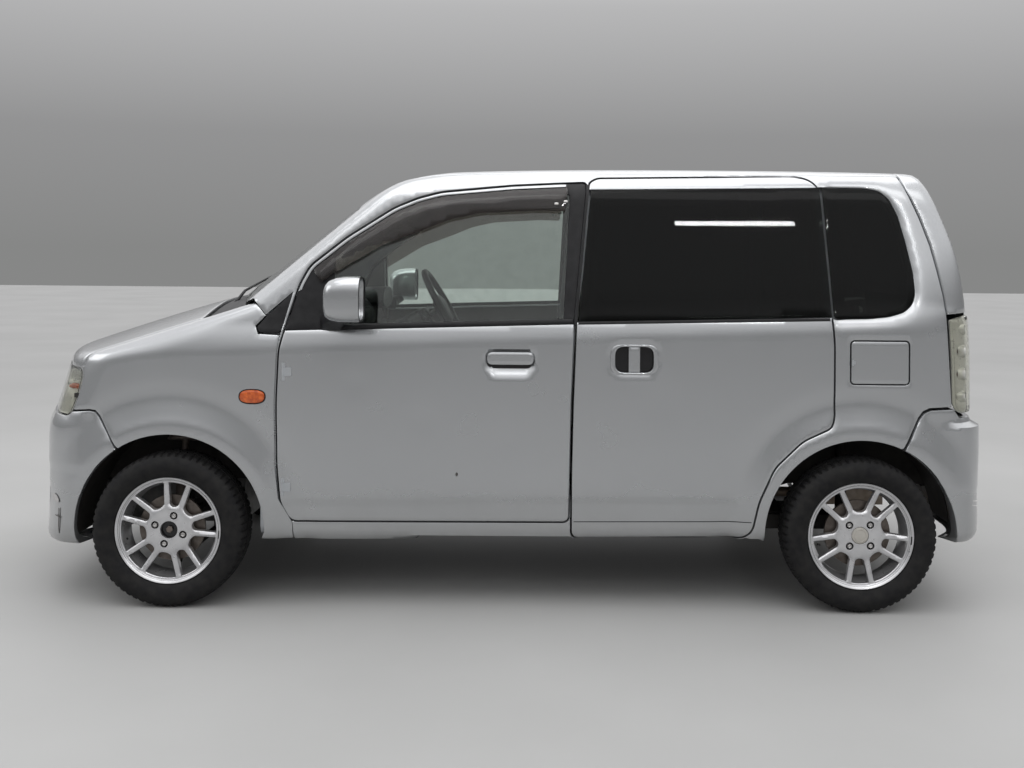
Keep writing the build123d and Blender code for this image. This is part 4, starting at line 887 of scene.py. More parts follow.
def gate_relief(uv):
    """Pressed recess for the number plate and a soft crease under the window."""
    d = signed_distance(uv, plate_room)
    return 7.0 * ease(-d / 12 + 0.5) + 2.5 * ease((1000 - uv[:, 1]) / 18) * ease((uv[:, 1] - 690) / 60)


b = Build()
panel(b, gate, gate_line, [rear_glass_line], thickness=SKIN, grid=15, relief=gate_relief)
panel(b, gate, moved_out(gate_line, -FRAME_INSET), [moved_out(rear_glass_line, -14)], top=SKIN,
      thickness=WALL - SKIN, lip=0, grid=40, mat=1)
b.obj("tailgate_skin", ("paint", "inner_paint"), "tailgate", "paint_silver", ("tailgate",))
sheet("tailgate_pane", "privacy", "tailgate", "privacy_glass", gate, rear_glass_line,
      replaces=("tailgate_glass",), grid=30, **PANE)

# ---------------------------------------------------------------- doors and side glass
HANDLE_Z = 832.0
FRONT_HANDLE_X, REAR_HANDLE_X = 44.0, 1010.0
SLIDE_HANDLE = (463.0, 850.0)
STRIP_WIDTH, VISOR_START = 11.0, 13.0
DOOR_MATS = ("paint", "inner_paint", "panel")


def in_rounded_box(uv, centre, half, corner):
    """Signed distance to a box with rounded corners."""
    q = np.abs(uv - centre) - np.array(half) + corner
    return np.hypot(*np.maximum(q, 0).T) + np.minimum(np.max(q, 1), 0) - corner


def grip_bowl(centre_x):
    """Hollow behind a pull-up door grip: steep under the grip, sloped below it."""
    def bowl(uv):
        d = in_rounded_box(uv, (centre_x, HANDLE_Z), (84, 49), 34)
        return 17.0 * ease(np.clip(-d / np.where(uv[:, 1] < HANDLE_Z - 10, 38.0, 9.0), 0, 1))
    return bowl


def ring_bowl(uv):
    """Hollow of the sliding door's flush handle."""
    return 4.0 * ease(-in_rounded_box(uv, SLIDE_HANDLE, (85.0, 55.0), 42) / 4)


def grip(build, family, centre_x):
    """Pull-up grip over its hollow, with a gloss-black sheet behind it as painted shade under the grip."""
    panel(build, family, box_line((centre_x, 851), (79.5, 22.5), 22), top=-6.0, thickness=10, lip=7, grid=8)
    # Gloss-black sheet in the hollow: painted shade where the grip's shadow falls.
    panel(build, family, box_line((centre_x, 850), (79, 33), 22), top=12.5, thickness=3, lip=0, grid=12,
          mat=1)


def door_lining(build, family, door_line, window_line):
    """Inner frame and trim of a door."""
    panel(build, family, moved_out(door_line, -FRAME_INSET), [window_line], top=SKIN, thickness=WALL - SKIN,
          lip=0, grid=40, mat=1, inner_mat=2)


def under_edge(inset, low_z, high_x):
    """Points a little inside the door's top edge, from the front pillar back."""
    return [p for p in moved_out(front_door_line, -inset) if p[1] > low_z and p[0] < high_x]


def visor_lean(uv):
    """The visor stands out below and meets the door under its top edge."""
    edge = signed_distance(uv, visor_edge + [(240, 3000), (-700, 3000)])
    return 11.0 * (1 - ease(edge / 22))


visor_edge = under_edge(VISOR_START, 1140, 236)
visor_line = rounded(visor_edge + [(236, 1432), (226, 1352), (130, 1354), (-70, 1342), (-170, 1320),
                                   (-262, 1282), (-400, 1230), (-566, 1130), (-604, 1100)], 10)
strip_line = under_edge(1.5, 1070, 284) + under_edge(STRIP_WIDTH, 1070, 284)[::-1]
pillar_strip = ((258.5, 962), (267.5, 962), (309.5, 1429), (311, 1447), (297.5, 1447), (300.5, 1429))
slide_hole = ((240, 974), (1165, 998), (1145, 1443), (282, 1428))
# Thin black strip low on the door: painted shade, the dark line of a groove.
groove_shade_line = ((262, 297.5), (862, 303.0), (862, 305.8), (262, 300.3))
front_belt = dense([(x, BELT_Z + BELT_SLOPE * x + dz)
                    for x, dz in ((-566, 1), (256, 1), (257, 17), (-564, 17))], 30)
rear_belt = dense([(272, 966), (1126, 985), (1126, 996), (272, 976)], 30)
door_lower = clipped(front_door_line, (-BELT_SLOPE, 1.0), BELT_Z)
door_upper = clipped(front_door_line, (BELT_SLOPE, -1.0), -BELT_Z - 1.5)

for side, word in SIDES.items():
    family, door = onto_side[side], f"front_door_{word}"
    b = Build()
    panel(b, family, door_lower, thickness=SKIN, relief=grip_bowl(FRONT_HANDLE_X), grid=14)
    door_lining(b, family, front_door_line, moved_out(door_glass_line, 6))
    panel(b, family, strip_line, top=0.0, thickness=6, lip=1.5, grid=40)
    b.obj(f"{door}_skin", DOOR_MATS, door, "paint_silver", (door,))
    g = Build()
    panel(g, family, door_upper, [door_glass_line], top=3.5, thickness=SKIN - 5, grid=30)
    panel(g, family, front_belt, top=-4, thickness=9, lip=3, grid=30)
    g.obj(f"{door}_frame", "black", door, "black_trim")
    sheet(f"{door}_pane", "clear", door, "clear_glass", family, moved_out(door_glass_line, 5),
          replaces=(f"front_door_glass_{word}",), top=9, thickness=4, lip=0, grid=40)
    sheet(f"{door}_visor", "smoke", door, "black_trim", family, visor_line, top=-9, thickness=3, lip=1.2,
          grid=22, relief=visor_lean)
    g = Build()
    for place in ((196, 1378), (228, 1386)):
        panel(g, family, box_line(place, (7, 4.5), 3), top=-11, thickness=5, lip=2, grid=6)
    g.obj(f"{door}_visor_clips", "steel", door, "black_trim")
    sheet(f"pillar_strip_{word}", "black", "body", "black_trim", family, pillar_strip, top=-0.4, thickness=3,
          lip=0, grid=40)
    g = Build()
    grip(g, family, FRONT_HANDLE_X)
    g.obj(f"{door}_grip", ("paint", "gloss_black"), door, "paint_silver")

    sliding = side < 0
    node = "sliding_door_left" if sliding else "rear_door_right"
    glass_node = "sliding_door_glass_left" if sliding else "rear_door_glass_right"
    body = "body" if sliding else node
    b = Build()
    panel(b, family, rear_door_line, [slide_hole] + [box_line(SLIDE_HANDLE, (66.0, 44.0), 30)] * sliding,
          thickness=SKIN, grid=14, relief=ring_bowl if sliding else grip_bowl(REAR_HANDLE_X))
    door_lining(b, family, rear_door_line, moved_out(rear_window_line, 4))
    b.obj(f"{node}_skin", DOOR_MATS, body, "paint_silver", (node,))
    sheet(f"{node}_pane", "privacy", body, "privacy_glass", family, slide_glass_line, replaces=(glass_node,),
          grid=30, **PANE)
    g = Build()
    panel(g, family, rear_belt, top=-1.5, thickness=6, lip=2, grid=30)
    # Black line low on the door: painted shade of a groove.
    panel(g, family, groove_shade_line, top=-0.3, thickness=1, lip=0, grid=40)
    g.obj(f"{node}_belt", "black", body, "black_trim")
    g = Build()
    if sliding:
        panel(g, family, box_line(SLIDE_HANDLE, (82, 52), 38), [box_line(SLIDE_HANDLE, (64.5, 43), 30)],
              top=-1.5, thickness=10, lip=4, grid=8)
        panel(g, family, box_line(SLIDE_HANDLE, (20, 43), 3), top=4, thickness=9, lip=4, grid=8)
        # Gloss-black sheet as the floor of the handle's recess: painted shade in the recess.
        panel(g, family, box_line(SLIDE_HANDLE, (66, 45), 28), top=20, thickness=2, lip=0, grid=20, mat=1)
    else:
        grip(g, family, REAR_HANDLE_X)
    g.obj(f"{node}_grip", ("paint", "gloss_black"), body, "paint_silver")

sheet("fuel_flap_skin", "paint", "fuel_flap", "paint_silver", onto_side[-1], flap_line,
      replaces=("fuel_flap",), thickness=9, grid=16)

# ---------------------------------------------------------------- door mirrors
MIRROR_Y, MIRROR_Z, MIRROR_POWER = 808.0, 1051.0, 3.6
SHELL_RINGS = ((-464, 64, 69, 0), (-448, 66, 71, 0), (-445, 69, 74, 0), (-456, 71.5, 75.5, 0),
               (-490, 71.5, 75.5, 0), (-520, 69, 73, -1), (-545, 62, 66, -3), (-558, 53, 56, -5),
               (-565, 40, 42, -7), (-567, 20, 22, -8))
FACE_RINGS = ((-465, 62, 67, 0), (-459, 62, 67, 0), (-458.5, 60, 65, 0))
FOOT_RINGS = ((672, -566, 966, 44, 34), (700, -562, 968, 40, 30), (730, -545, 976, 32, 22),
              (756, -530, 984, 30, 18), (780, -522, 990, 28, 16))


def mirror_ring(side, x, wide, high, lift=0, n=40):
    """Oval of a mirror at one place along the car."""
    return [(x, side * (MIRROR_Y + a), MIRROR_Z + lift + c) for a, c in oval(wide, high, n, MIRROR_POWER)]


for side, word in SIDES.items():
    body = f"front_door_{word}"
    for name, mat, rings, nodes in (("shell", "paint", SHELL_RINGS, (f"mirror_{word}",)),
                                    ("face", "mirror", FACE_RINGS, ())):
        b = Build()
        b.loft([mirror_ring(side, *ring) for ring in rings])
        b.obj(f"mirror_{name}_{word}", mat, body, "mirror_shell", nodes)
    g = Build()
    g.tube(mirror_ring(side, -446, 66, 71, n=48), 3.2, closed=True, sides=8)
    g.loft([[(x, side * y, z) for x, z in oval(rx, rz, 24, 3, (x0, z0))] for y, x0, z0, rx, rz in FOOT_RINGS])
    g.obj(f"mirror_foot_{word}", "black", body, "black_trim")

# ---------------------------------------------------------------- lamps
headlamp_side = ((-1484, 641), (-1474, 641), (-1463, 648), (-1453, 672), (-1441, 703), (-1431, 740),
                 (-1423, 776), (-1429, 793), (-1439, 802))
low_corner = in_uv(nose, on_shape(onto_nose,
                                  dense(((-560, 641), (-404, 643), (-404, 804)), 14, closed=False)))
lamp_line = side_outline(nose, dense(headlamp_side, 8, closed=False))
lamp_top = [(u, 804.0) for u in np.linspace(lamp_line[-1][0], low_corner[-1][0], 20)][1:-1]
lamp_line = rounded((lamp_line + lamp_top + low_corner[::-1])[::2], 8)
tail_side = dense(((1582, 674), (1563, 684), (1552, 704), (1546, 860), (1536, 1004)), 12, closed=False)
tail_end = dense(((-640, 1006), (-604, 1006), (-604, 672), (-640, 670)), 14, closed=False)
tail_line = rounded((side_outline(tail, tail_side) + in_uv(tail, on_shape(onto_tail, tail_end)))[::2], 8)
LAMP_BOWL_U = np.mean([p[0] for p in lamp_line]) + 22
LAMP_TURN_U = max((p[0] for p in lamp_line), key=abs) * 0.93
TAIL_CUP_U = min(abs(p[0]) for p in tail_line) + 32
TAIL_CUPS = ((958.0, 17, 1), (884.0, 20, 0), (806.0, 20, 0), (728.0, 17, 2))   # height, radius, material


def lamp_bowls(main_u, turn_u):
    """Main reflector bowl and a smaller one for the turn lamp, finely ribbed."""
    return lambda uv: (34.0 * ease(1.05 - np.hypot(uv[:, 0] - main_u, uv[:, 1] - 730) / 62)
                       + 14.0 * ease(1.05 - np.hypot(uv[:, 0] - turn_u, uv[:, 1] - 735) / 40)
                       + 0.5 * np.sin(uv[:, 0] / 3.5))


def tail_ribs(uv):
    """Ribs across the lower part of the tail lamp's reflector."""
    return 1.4 * np.abs(np.sin(uv[:, 1] * pi / 13)) * ease((770 - uv[:, 1]) / 10)


for side, word in SIDES.items():
    first = side < 0
    flip = 1 if first else -1
    line = [(u * flip, v) for u, v in lamp_line]
    bowl_u, turn_u, cup_u = flip * LAMP_BOWL_U, flip * LAMP_TURN_U, -flip * TAIL_CUP_U
    sheet(f"headlamp_lens_{word}", "lens", "body", "lamp_lens", nose, line,
          replaces=("headlamps",) if first else (), top=1.0, thickness=3.5, lip=4, grid=12)
    sheet(f"headlamp_reflector_{word}", "milk", "body", "lamp_lens", nose, moved_out(line, -2), top=10,
          thickness=5, lip=0, grid=7, relief=lamp_bowls(bowl_u, turn_u))
    g = Build()
    for at_u, r, mat in ((bowl_u, 13, 0), (turn_u, 10, 1)):
        centre = hit(nose, np.array([(at_u, 732.0)]), 26.0)[0]
        g.turned([(-22, 0.1), (-20, r * 0.6), (-8, r), (10, r), (16, r * 0.7), (16, 0.1)], centre, (1, 0, 0),
                 mat, 24)
    g.obj(f"headlamp_bulbs_{word}", ("bulb", "amber"), "body", "lamp_lens")
    line = [(u * flip, v) for u, v in tail_line]
    sheet(f"tail_lens_{word}", "lens", "body", "tail_lens", tail, line,
          replaces=("tail_lamps",) if first else (), top=-6.0, thickness=4.0, lip=11, grid=12)
    sheet(f"tail_reflector_{word}", "milk", "body", "tail_lens", tail, moved_out(line, -2),
          [oval(r + 1, r + 1, 28, at=(cup_u, z)) for z, r, _ in TAIL_CUPS], top=7, thickness=6, lip=0, grid=7,
          relief=tail_ribs)
    g = Build()
    for z, r, mat in TAIL_CUPS:
        centre = hit(tail, np.array([(cup_u, z)]), 6.0)[0]
        g.turned([(-26, r + 3), (-1, r + 3), (0, r + 2), (-3, r), (-26, r)], centre, (1, 0, 0), 3, 28)
        g.turned([(-24, 0.1), (-24, r), (-16, r * 0.9), (-13, r * 0.5), (-12, 0.1)], centre, (1, 0, 0), mat,
                 28)
    g.obj(f"tail_bulbs_{word}", ("red", "amber", "bulb", "milk"), "body", "tail_lens")
    marker = oval(43, 23, 40, 2.6, (-826.5, 715))
    sheet(f"side_marker_{word}", "amber", "body", "lamp_lens", onto_side[side], marker, top=-7, thickness=9,
          lip=7, grid=6)
    sheet(f"side_marker_ring_{word}", "black", "body", "black_trim", onto_side[side], moved_out(marker, 3),
          [moved_out(marker, -1)], top=-1.5, thickness=5, lip=1, grid=8)

# ---------------------------------------------------------------- wheels
TYRE_WIDTH, WHEEL_Y = 155.0, 652.5
RIM_OUT, RIM_IN, FLANGE_R = 715.0, 592.0, 180.0
SPOKE_SPREAD, FOOT_SPREAD, LUG_CIRCLE, LUG_TURN, LUGS, SPOKE_PAIRS = 13.7, 21.0, 50.0, 8.5, 4, 5
FACE_Y, TIP_R, FOOT_R, HUB_R, WINDOW_R, DISC_R = 703.0, 166.0, 46.0, 92.0, 161.0, 169.0
BORE_R, WELL_R, SPOKE_DEEP, SPOKE_HALF, WINDOW_FOOT = 29.0, 12.6, 24.0, 8.5, 14.0
TREAD_BLOCKS, STEPS_A_BLOCK = 64, 6
WHEELS = (
    # name, axle x, side, capped, turn of the spokes in degrees
    ("front_left", FRONT_AXLE_X, -1, False, 10.0),
    ("front_right", FRONT_AXLE_X, 1, True, 24.0),
    ("rear_left", REAR_AXLE_X, -1, True, 35.4),
    ("rear_right", REAR_AXLE_X, 1, True, 52.0),
)
HALF_TYRE = TYRE_WIDTH / 2
TYRE_PROFILE = (
    # place across the tread, measured outwards from the tyre's middle, and radius
    (-HALF_TYRE + 14, 176), (-HALF_TYRE + 8, 190), (-HALF_TYRE + 2, 204), (-HALF_TYRE, 218),
    (-HALF_TYRE + 2, 232), (-HALF_TYRE + 6, 242), (-HALF_TYRE + 13, 251), (-HALF_TYRE + 22, 256.5),
    (-HALF_TYRE + 34, 258.5), (-24, 259.6), (-23, 252.5), (-15, 252.5), (-14, 260), (-4, 260), (-3.5, 252.5),
    (3.5, 252.5), (4, 260), (14, 260), (15, 252.5), (23, 252.5), (24, 259.6), (HALF_TYRE - 34, 258.5),
    (HALF_TYRE - 22, 256.5), (HALF_TYRE - 13, 251), (HALF_TYRE - 6, 242), (HALF_TYRE - 2, 232),
    (HALF_TYRE, 218), (HALF_TYRE - 3, 204), (HALF_TYRE - 10, 190), (HALF_TYRE - 15, 183),
    (HALF_TYRE - 20, 181), (HALF_TYRE - 20, 170), (-HALF_TYRE + 14, 170))
RIM_PROFILE = (
    (RIM_IN, 172), (RIM_IN, 177), (RIM_IN + 5, 178), (RIM_IN + 8, 171), (RIM_IN + 30, 169),
    (RIM_IN + 44, 156), (RIM_OUT - 46, 156), (RIM_OUT - 26, 168), (RIM_OUT - 13, 170), (RIM_OUT - 8, 178),
    (RIM_OUT - 3, FLANGE_R), (RIM_OUT, 178.5), (RIM_OUT - 1, 175), (RIM_OUT - 5, 171), (RIM_OUT - 7, 167),
    (RIM_OUT - 16, 163), (RIM_OUT - 34, 160), (RIM_OUT - 48, 151), (RIM_IN + 40, 151), (RIM_IN + 26, 164))


def tread_cut(step, w, r):
    """Depth of the lateral grooves and the shoulder's notches at a place on the tyre."""
    phase = (step + (3 if w < 0 else 0)) % STEPS_A_BLOCK
    if r > 249:
        if abs(w) > 24 and phase < 2:
            return 5.0 if abs(w) < HALF_TYRE - 16 else 1.8
        return 3.0 if 12 < abs(w) <= 24 and step % STEPS_A_BLOCK == (3 if w < 0 else 0) else 0.0
    return 0.6 if r > 238 and phase < 2 else 0.0


class Disc:
    """Face of a wheel: u and v are X and Z from the axle, depth is towards the car."""

    def __init__(self, axle_x, side):
        self.axle_x, self.side = axle_x, side

    def surface(self, uv, depth):
        r = np.hypot(*uv.T)
        face = FACE_Y - 3.0 * ease((r - 62) / 30) + 5.0 * ease((r - 96) / 66)
        return np.stack([self.axle_x + uv[:, 0], self.side * (face - depth), AXLE_Z + uv[:, 1]], 1)


def circle(radius, centre=(0.0, 0.0), n=48):
    """Points on a circle, from its top."""
    return [(centre[0] + radius * sin(2 * pi * i / n), centre[1] + radius * cos(2 * pi * i / n))
            for i in range(n)]


def window(first, second):
    """Opening between neighbouring spokes, each given as its tip's angle and its foot's angle."""
    middle = (first[0] + second[0]) / 2
    inward = -np.array((sin(middle), cos(middle)))
    flanks = []
    for (angle, foot_angle), way in ((first, 1), (second, -1)):
        tip = TIP_R * np.array((sin(angle), cos(angle)))
        foot = FOOT_R * np.array((sin(foot_angle), cos(foot_angle)))
        run = (foot - tip) / np.linalg.norm(foot - tip)
        across = np.array((-run[1], run[0]))
        if way * np.dot(across, (cos(angle), -sin(angle))) < 0:
            across = -across
        rows = [tip + (foot - tip) * t + across * (SPOKE_HALF + 2.5 * t) for t in np.linspace(0, 1, 26)]
        flanks.append([p for p in rows if HUB_R < np.hypot(*p) < WINDOW_R - 2])
    left, right = flanks
    a0, a1 = (atan2(*rows[0]) for rows in flanks)
    outer = [WINDOW_R * np.array((sin(a0 + t), cos(a0 + t)))
             for t in np.linspace(0, (a1 - a0) % (2 * pi), 10)]
    centre, half = (left[-1] + right[-1]) / 2, (right[-1] - left[-1]) / 2
    deep = min(np.linalg.norm(half), WINDOW_FOOT)
    bottom = [centre + half * cos(t) + inward * sin(t) * deep for t in np.linspace(0, pi, 10)[1:-1]]
    return [tuple(p) for p in outer + right + bottom + left[::-1]]


def ridge(windows):
    """Flanks of the spokes fall away from a middle ridge."""
    def relief(uv):
        near, r = np.min([signed_distance(uv, w) for w in windows], axis=0), np.hypot(*uv.T)
        return 0.42 * np.maximum(9.0 - near, 0) * ease((r - 70) / 20) * ease((163 - r) / 6)
    return relief


for name, axle_x, side, capped, turn in WHEELS:
    body, centre, axis, base = f"wheel_{name}", (axle_x, 0, AXLE_Z), (0, side, 0), -side * turn
    b = Build()
    steps = TREAD_BLOCKS * STEPS_A_BLOCK
    rings = []
    for step in range(steps):
        t = 2 * pi * step / steps
        radii = [(w, r - tread_cut(step, w, r)) for w, r in TYRE_PROFILE]
        rings.append([(axle_x + r * sin(t), side * (WHEEL_Y + w), AXLE_Z + r * cos(t)) for w, r in radii])
    b.loft(rings, closed=True)
    b.obj(f"tyre_{name}_tread", "tyre", body, "tyre_rubber", (f"tyre_{name}",), sharp=30)
    b = Build()
    b.turned(RIM_PROFILE, centre, axis, 0, 96)
    spokes = [tuple(radians(base + 360 / SPOKE_PAIRS * pair + way * spread)
                    for spread in (SPOKE_SPREAD, FOOT_SPREAD))
              for pair in range(SPOKE_PAIRS) for way in (-1, 1)]
    spokes.append(tuple(a + 2 * pi for a in spokes[0]))
    windows = [window(*pair) for pair in zip(spokes, spokes[1:])]
    lug_angles = [radians(base - side * LUG_TURN + 360 / LUGS * k) for k in range(LUGS)]
    lugs = [(axle_x + LUG_CIRCLE * sin(a), AXLE_Z + LUG_CIRCLE * cos(a)) for a in lug_angles]
    wells = [circle(WELL_R, (x - axle_x, z - AXLE_Z), 24) for x, z in lugs]
    panel(b, Disc(axle_x, side), circle(DISC_R, n=120), [*windows, *wells, circle(BORE_R)],
          thickness=SPOKE_DEEP, grid=7, lip=2.0, relief=ridge(windows))
    b.obj(f"rim_{name}_alloy", "rim", body, "rim_alloy", (f"rim_{name}",), sharp=35)
    g = Build()
    for x, z in lugs:
        g.turned([(684, WELL_R + 1), (686, WELL_R + 1), (686, 0.1), (684, 0.1)], (x, 0, z), axis, 1, 28)
        g.loft([[(u, side * w, v) for u, v in circle(r, (x, z), 6)]
                for w, r in ((686, 9.2), (699, 9.2), (702, 7.8), (702.6, 5.0))], 2)
        g.turned([(702.4, 5.2), (703.4, 4.4), (702.8, 3.4), (698, 3.2), (698, 0.1), (697.5, 0.1),
                  (697.5, 5.2)],
                 (x, 0, z), axis, 2, 20)
    g.obj(f"lugs_{name}", ("rim", "gloss_black", "steel"), body, "rim_alloy")
    g = Build()
    if capped:
        g.turned([(694, 29), (699, 29), (701.5, 27.4), (702.6, 24), (703.4, 15), (703.8, 5), (703.9, 0.1),
                  (694, 0.1)],
                 centre, axis, 0, 56)
        g.turned([(702.9, 21.4), (703.9, 20.8), (703.9, 19.6), (702.9, 19.0)], centre, axis, 0, 56)
    else:
        g.turned([(690, 28.8), (696, 28.8), (696, 26.5), (690, 26.5)], centre, axis, 1, 48)
        g.turned([(688, 26.5), (689, 26.5), (689, 0.1), (688, 0.1)], centre, axis, 1, 48)
        g.turned([(688, 12), (697, 12), (698.5, 10.5), (698.5, 0.1), (688, 0.1)], centre, axis, 2, 6)
    g.obj(f"hub_cap_{name}", ("cap", "gloss_black", "iron"), body, "rim_alloy")
    g = Build()
    g.turned([(RIM_OUT - 4, 169.5), (RIM_OUT - 2, 171), (RIM_OUT - 2, 173.5), (RIM_OUT - 4, 174)], centre,
             axis, 0, 10, start=2.2, sweep=0.16)
    g.tube([(axle_x - 143, side * 696, AXLE_Z - 32), (axle_x - 138, side * 706, AXLE_Z - 31)], 3.6, sides=12)
    g.obj(f"valve_{name}", "rubber", body, "tyre_rubber")

# ---------------------------------------------------------------- wipers, aerial, plates, rear fittings
g = Build()
for pivot_y, (tip_x, tip_y) in ((-420, (-872, 60)), (180, (-850, 488))):
    pivot, elbow, end = on_top(-962, pivot_y, 4), on_top(-944, pivot_y + 50, 22), on_top(tip_x, tip_y, 16)
    g.turned([(-14, 9), (2, 9), (6, 7), (6, 0.1), (-14, 0.1)], pivot, (0, 0, 1), 0, 20)
    g.tube([pivot + Vector((0, 0, 4)), elbow, elbow.lerp(end, 0.5) + Vector((0, 0, 6)), end],
           [6, 5, 4, 3], sides=8)
    blade = [on_top(tip_x - 26 + 44 * t, tip_y - 270 + 380 * t, 7) for t in np.linspace(0, 1, 12)]
    g.tube(blade, 4.2, sides=6)
    g.tube([p + Vector((0, 0, -5)) for p in blade], 1.8, sides=6)
g.obj("wipers", "black", "body", "black_trim")
g = Build()
aerial = on_top(-430, 0, 0)
g.loft([[(aerial.x + a * s, c * s * 0.62, aerial.z + up) for a, c in oval(34, 30, 28)]
        for up, s in ((-3, 1.0), (2, 1.0), (7, 0.86), (13, 0.55), (17, 0.3))])
g.tube([aerial + Vector((0, 0, 12)), aerial + Vector((9, 0, 22))], [5, 3.4], sides=12)
g.obj("aerial_foot", "black", "body", "black_trim")

for node, body, z0, end in (("front_plate", "body", 455, -1), ("rear_plate", "tailgate", 780, 1)):
    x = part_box(node)[0 if end < 0 else 1][0] / MM - end * 3
    g = Build()
    g.bar((min(x, x + end * 2), -165, z0), (max(x, x + end * 2), 165, z0 + 165), 0.8)
    for y in (-105, 105):
        bolt = [(0, 0.1), (0, 7), (2.2, 6.4), (3.2, 3.5), (3.4, 0.1)]
        g.turned(bolt, (x + end * 1.6, y, z0 + 148), (end, 0, 0), 1, 16)
    g.obj(f"{node}_sheet", ("plate", "disc"), body, "plate_blank", (node,))


def on_gate(y, z, out=0.0):
    """Place behind the tailgate."""
    return Vector(on_shape(onto_tail, [(y, z)])[0]) + Vector((out, 0, 0))


sheet("tailgate_garnish", "paint", "tailgate", "paint_silver", gate,
      end_outline(gate, [(-190, 922), (190, 922), (176, 958), (-176, 958)], 25, 8), top=-13, thickness=15,
      lip=9, grid=10)
sheet("stop_lamp", "red", "tailgate", "tail_lens", gate,
      end_outline(gate, [(-115, 1446), (115, 1446), (110, 1466), (-110, 1466)], 20, 6), top=-5, thickness=8,
      lip=5, grid=9)
g = Build()
pivot, tip = on_gate(-60, 1012, 6), on_gate(250, 1052, 16)
g.turned([(-8, 15), (6, 15), (11, 11), (12, 0.1), (-8, 0.1)], pivot, (1, 0, 0), 0, 24)
g.tube([pivot + Vector((8, 0, 0)), pivot.lerp(tip, 0.4) + Vector((12, 0, 6)), tip], [7, 5, 3.5], sides=8)
g.tube([on_gate(y, 1052 + 0.02 * (y - 130), 7) for y in np.linspace(0, 370, 10)], 4.5, sides=6)
g.obj("rear_wiper", "black", "tailgate", "black_trim")
g = Build()
for y in (-150, 150):
    x = on_gate(y, 915).x
    g.bar((x - 6, y - 22, 905), (x + 4, y + 22, 921), 3)
g.obj("plate_lamps", "black", "tailgate", "black_trim")
g = Build()
for way in (-1, 1):
    corners = [(way * 520, 318), (way * 520, 352), (way * 430, 352), (way * 430, 318)]
    panel(g, tail, end_outline(tail, rounded(corners, 8)), top=-3, thickness=7, lip=4, grid=8)
g.obj("rear_reflectors", "red", "body", "tail_lens")

# ---------------------------------------------------------------- wear that the photograph shows
MARK = {"top": -0.5, "thickness": 1.0, "lip": 0}
g = Build()
for crack in ([(-1499, 322), (-1495, 320), (-1494, 280), (-1497, 234), (-1500, 234), (-1499, 280)],
              [(-1516, 296), (-1486, 293), (-1486, 290), (-1516, 293)]):
    panel(g, nose, side_outline(nose, crack), grid=6, **MARK)
g.obj("bumper_crack", "scuff", "body", "paint_silver")
worn = [(-1543, 352), (-1530, 366), (-1512, 362), (-1499, 350), (-1500, 338), (-1520, 341), (-1538, 340)]
sheet("bumper_scuff", "worn", "body", "paint_silver", nose, side_outline(nose, rounded(worn, 8)), top=-0.3,
      thickness=0.8, lip=0, grid=6)
g = Build()
for x0, z0, x1, z1, wide in ((1614, 375, 1662, 352, 3.0), (1608, 362, 1640, 350, 2.0)):
    line = side_outline(tail, [(x0, z0), (x1, z1), (x1, z1 - wide), (x0, z0 - wide)])
    panel(g, tail, line, grid=6, relief=rear_relief, **MARK)
g.obj("bumper_scratch", "scratch", "body", "paint_silver")
sheet("door_mark", "scuff", "front_door_left", "paint_silver", onto_side[-1],
      oval(4.5, 7, 14, at=(-134, 458)), grid=4, **MARK)

# ---------------------------------------------------------------- hinges
HINGE_HALF, KNUCKLE, PIN, FIXED_ARM, MOVING_ARM, BARREL = 30.0, 9.0, 5.0, 46.0, 27.0, 0.47


def hinge(name, at, axis, outward, to_panel, body, share=1.0):
    """Pin, knuckles and arm on the fixed side; barrel and tongue on the panel that moves."""
    at, axis, outward, to_panel = (Vector(v) for v in (at, axis, outward, to_panel))
    half, r = HINGE_HALF * share, KNUCKLE * share

    def block(build, low, high, reach, direction, wide):
        across = axis.cross(direction) * wide
        build.loft([[at + axis * z + across * s + direction * d
                     for s, d in ((-1, 0), (1, 0), (1, reach), (-1, reach))]
                    for z in (low, high)])
    fixed, moving = Build(), Build()
    fixed.tube([at - axis * half, at + axis * half], PIN * share, sides=16)
    for low, high in ((-half, -half / 2), (half / 2, half)):
        fixed.tube([at + axis * low, at + axis * high], r, sides=20)
        block(fixed, low, high, FIXED_ARM * share, -outward, r * 0.9)
    moving.tube([at - axis * half * BARREL, at + axis * half * BARREL], r, sides=20)
    block(moving, -half * BARREL, half * BARREL, MOVING_ARM * share, to_panel, r * 0.95)
    fixed.obj(f"{name}_fixed", "inner_paint", "body", "paint_silver")
    moving.obj(f"{name}_moving", "inner_paint", body, "paint_silver")


X, Y, Z = (1, 0, 0), (0, 1, 0), (0, 0, 1)
for z, level_word in ((410.0, "low"), (800.0, "high")):
    for side, word in SIDES.items():
        hinge(f"front_hinge_{word}_{level_word}", (-722, side * 706.5, z), Z, (0, side, 0), X,
              f"front_door_{word}")
    hinge(f"rear_hinge_right_{level_word}", (281, 706.5, z), Z, Y, X, "rear_door_right")
for side, word in SIDES.items():
    hinge(f"gate_hinge_{word}", (1424, side * 360, 1494), Y, Z, X, "tailgate")
    hinge(f"bonnet_hinge_{word}", (-1032, side * 300, 1005), Y, Z, (-1, 0, 0), "bonnet")
hinge("flap_hinge", (1198.5, -718.5, 846), Z, (0, -1, 0), X, "fuel_flap", 1 / 3)
g = Build()
filler = Vector((1296, -698, 846))
g.turned([(0, 42), (5, 42), (7, 38), (0, 38)], filler, (0, -1, 0), 0, 40)
g.turned([(0, 32), (7, 32), (10, 29), (10, 0.1), (0, 0.1)], filler, (0, -1, 0), 0, 40)
g.bar(filler + Vector((-24, -14, -5)), filler + Vector((24, -8, 5)), 2)
g.obj("filler_cap", "black", "body", "black_trim")


# ---------------------------------------------------------------- cabin: dashboard, steering wheel, seats
def across_car(profile, rows):
    """Rings across the car: an outline in X and Z, at several places and drawn in to a share of its size."""
    p = np.array(profile, float)
    c = p.mean(0)
    return [[(x, y, z) for x, z in c + (p - c) * share] for y, share in rows]


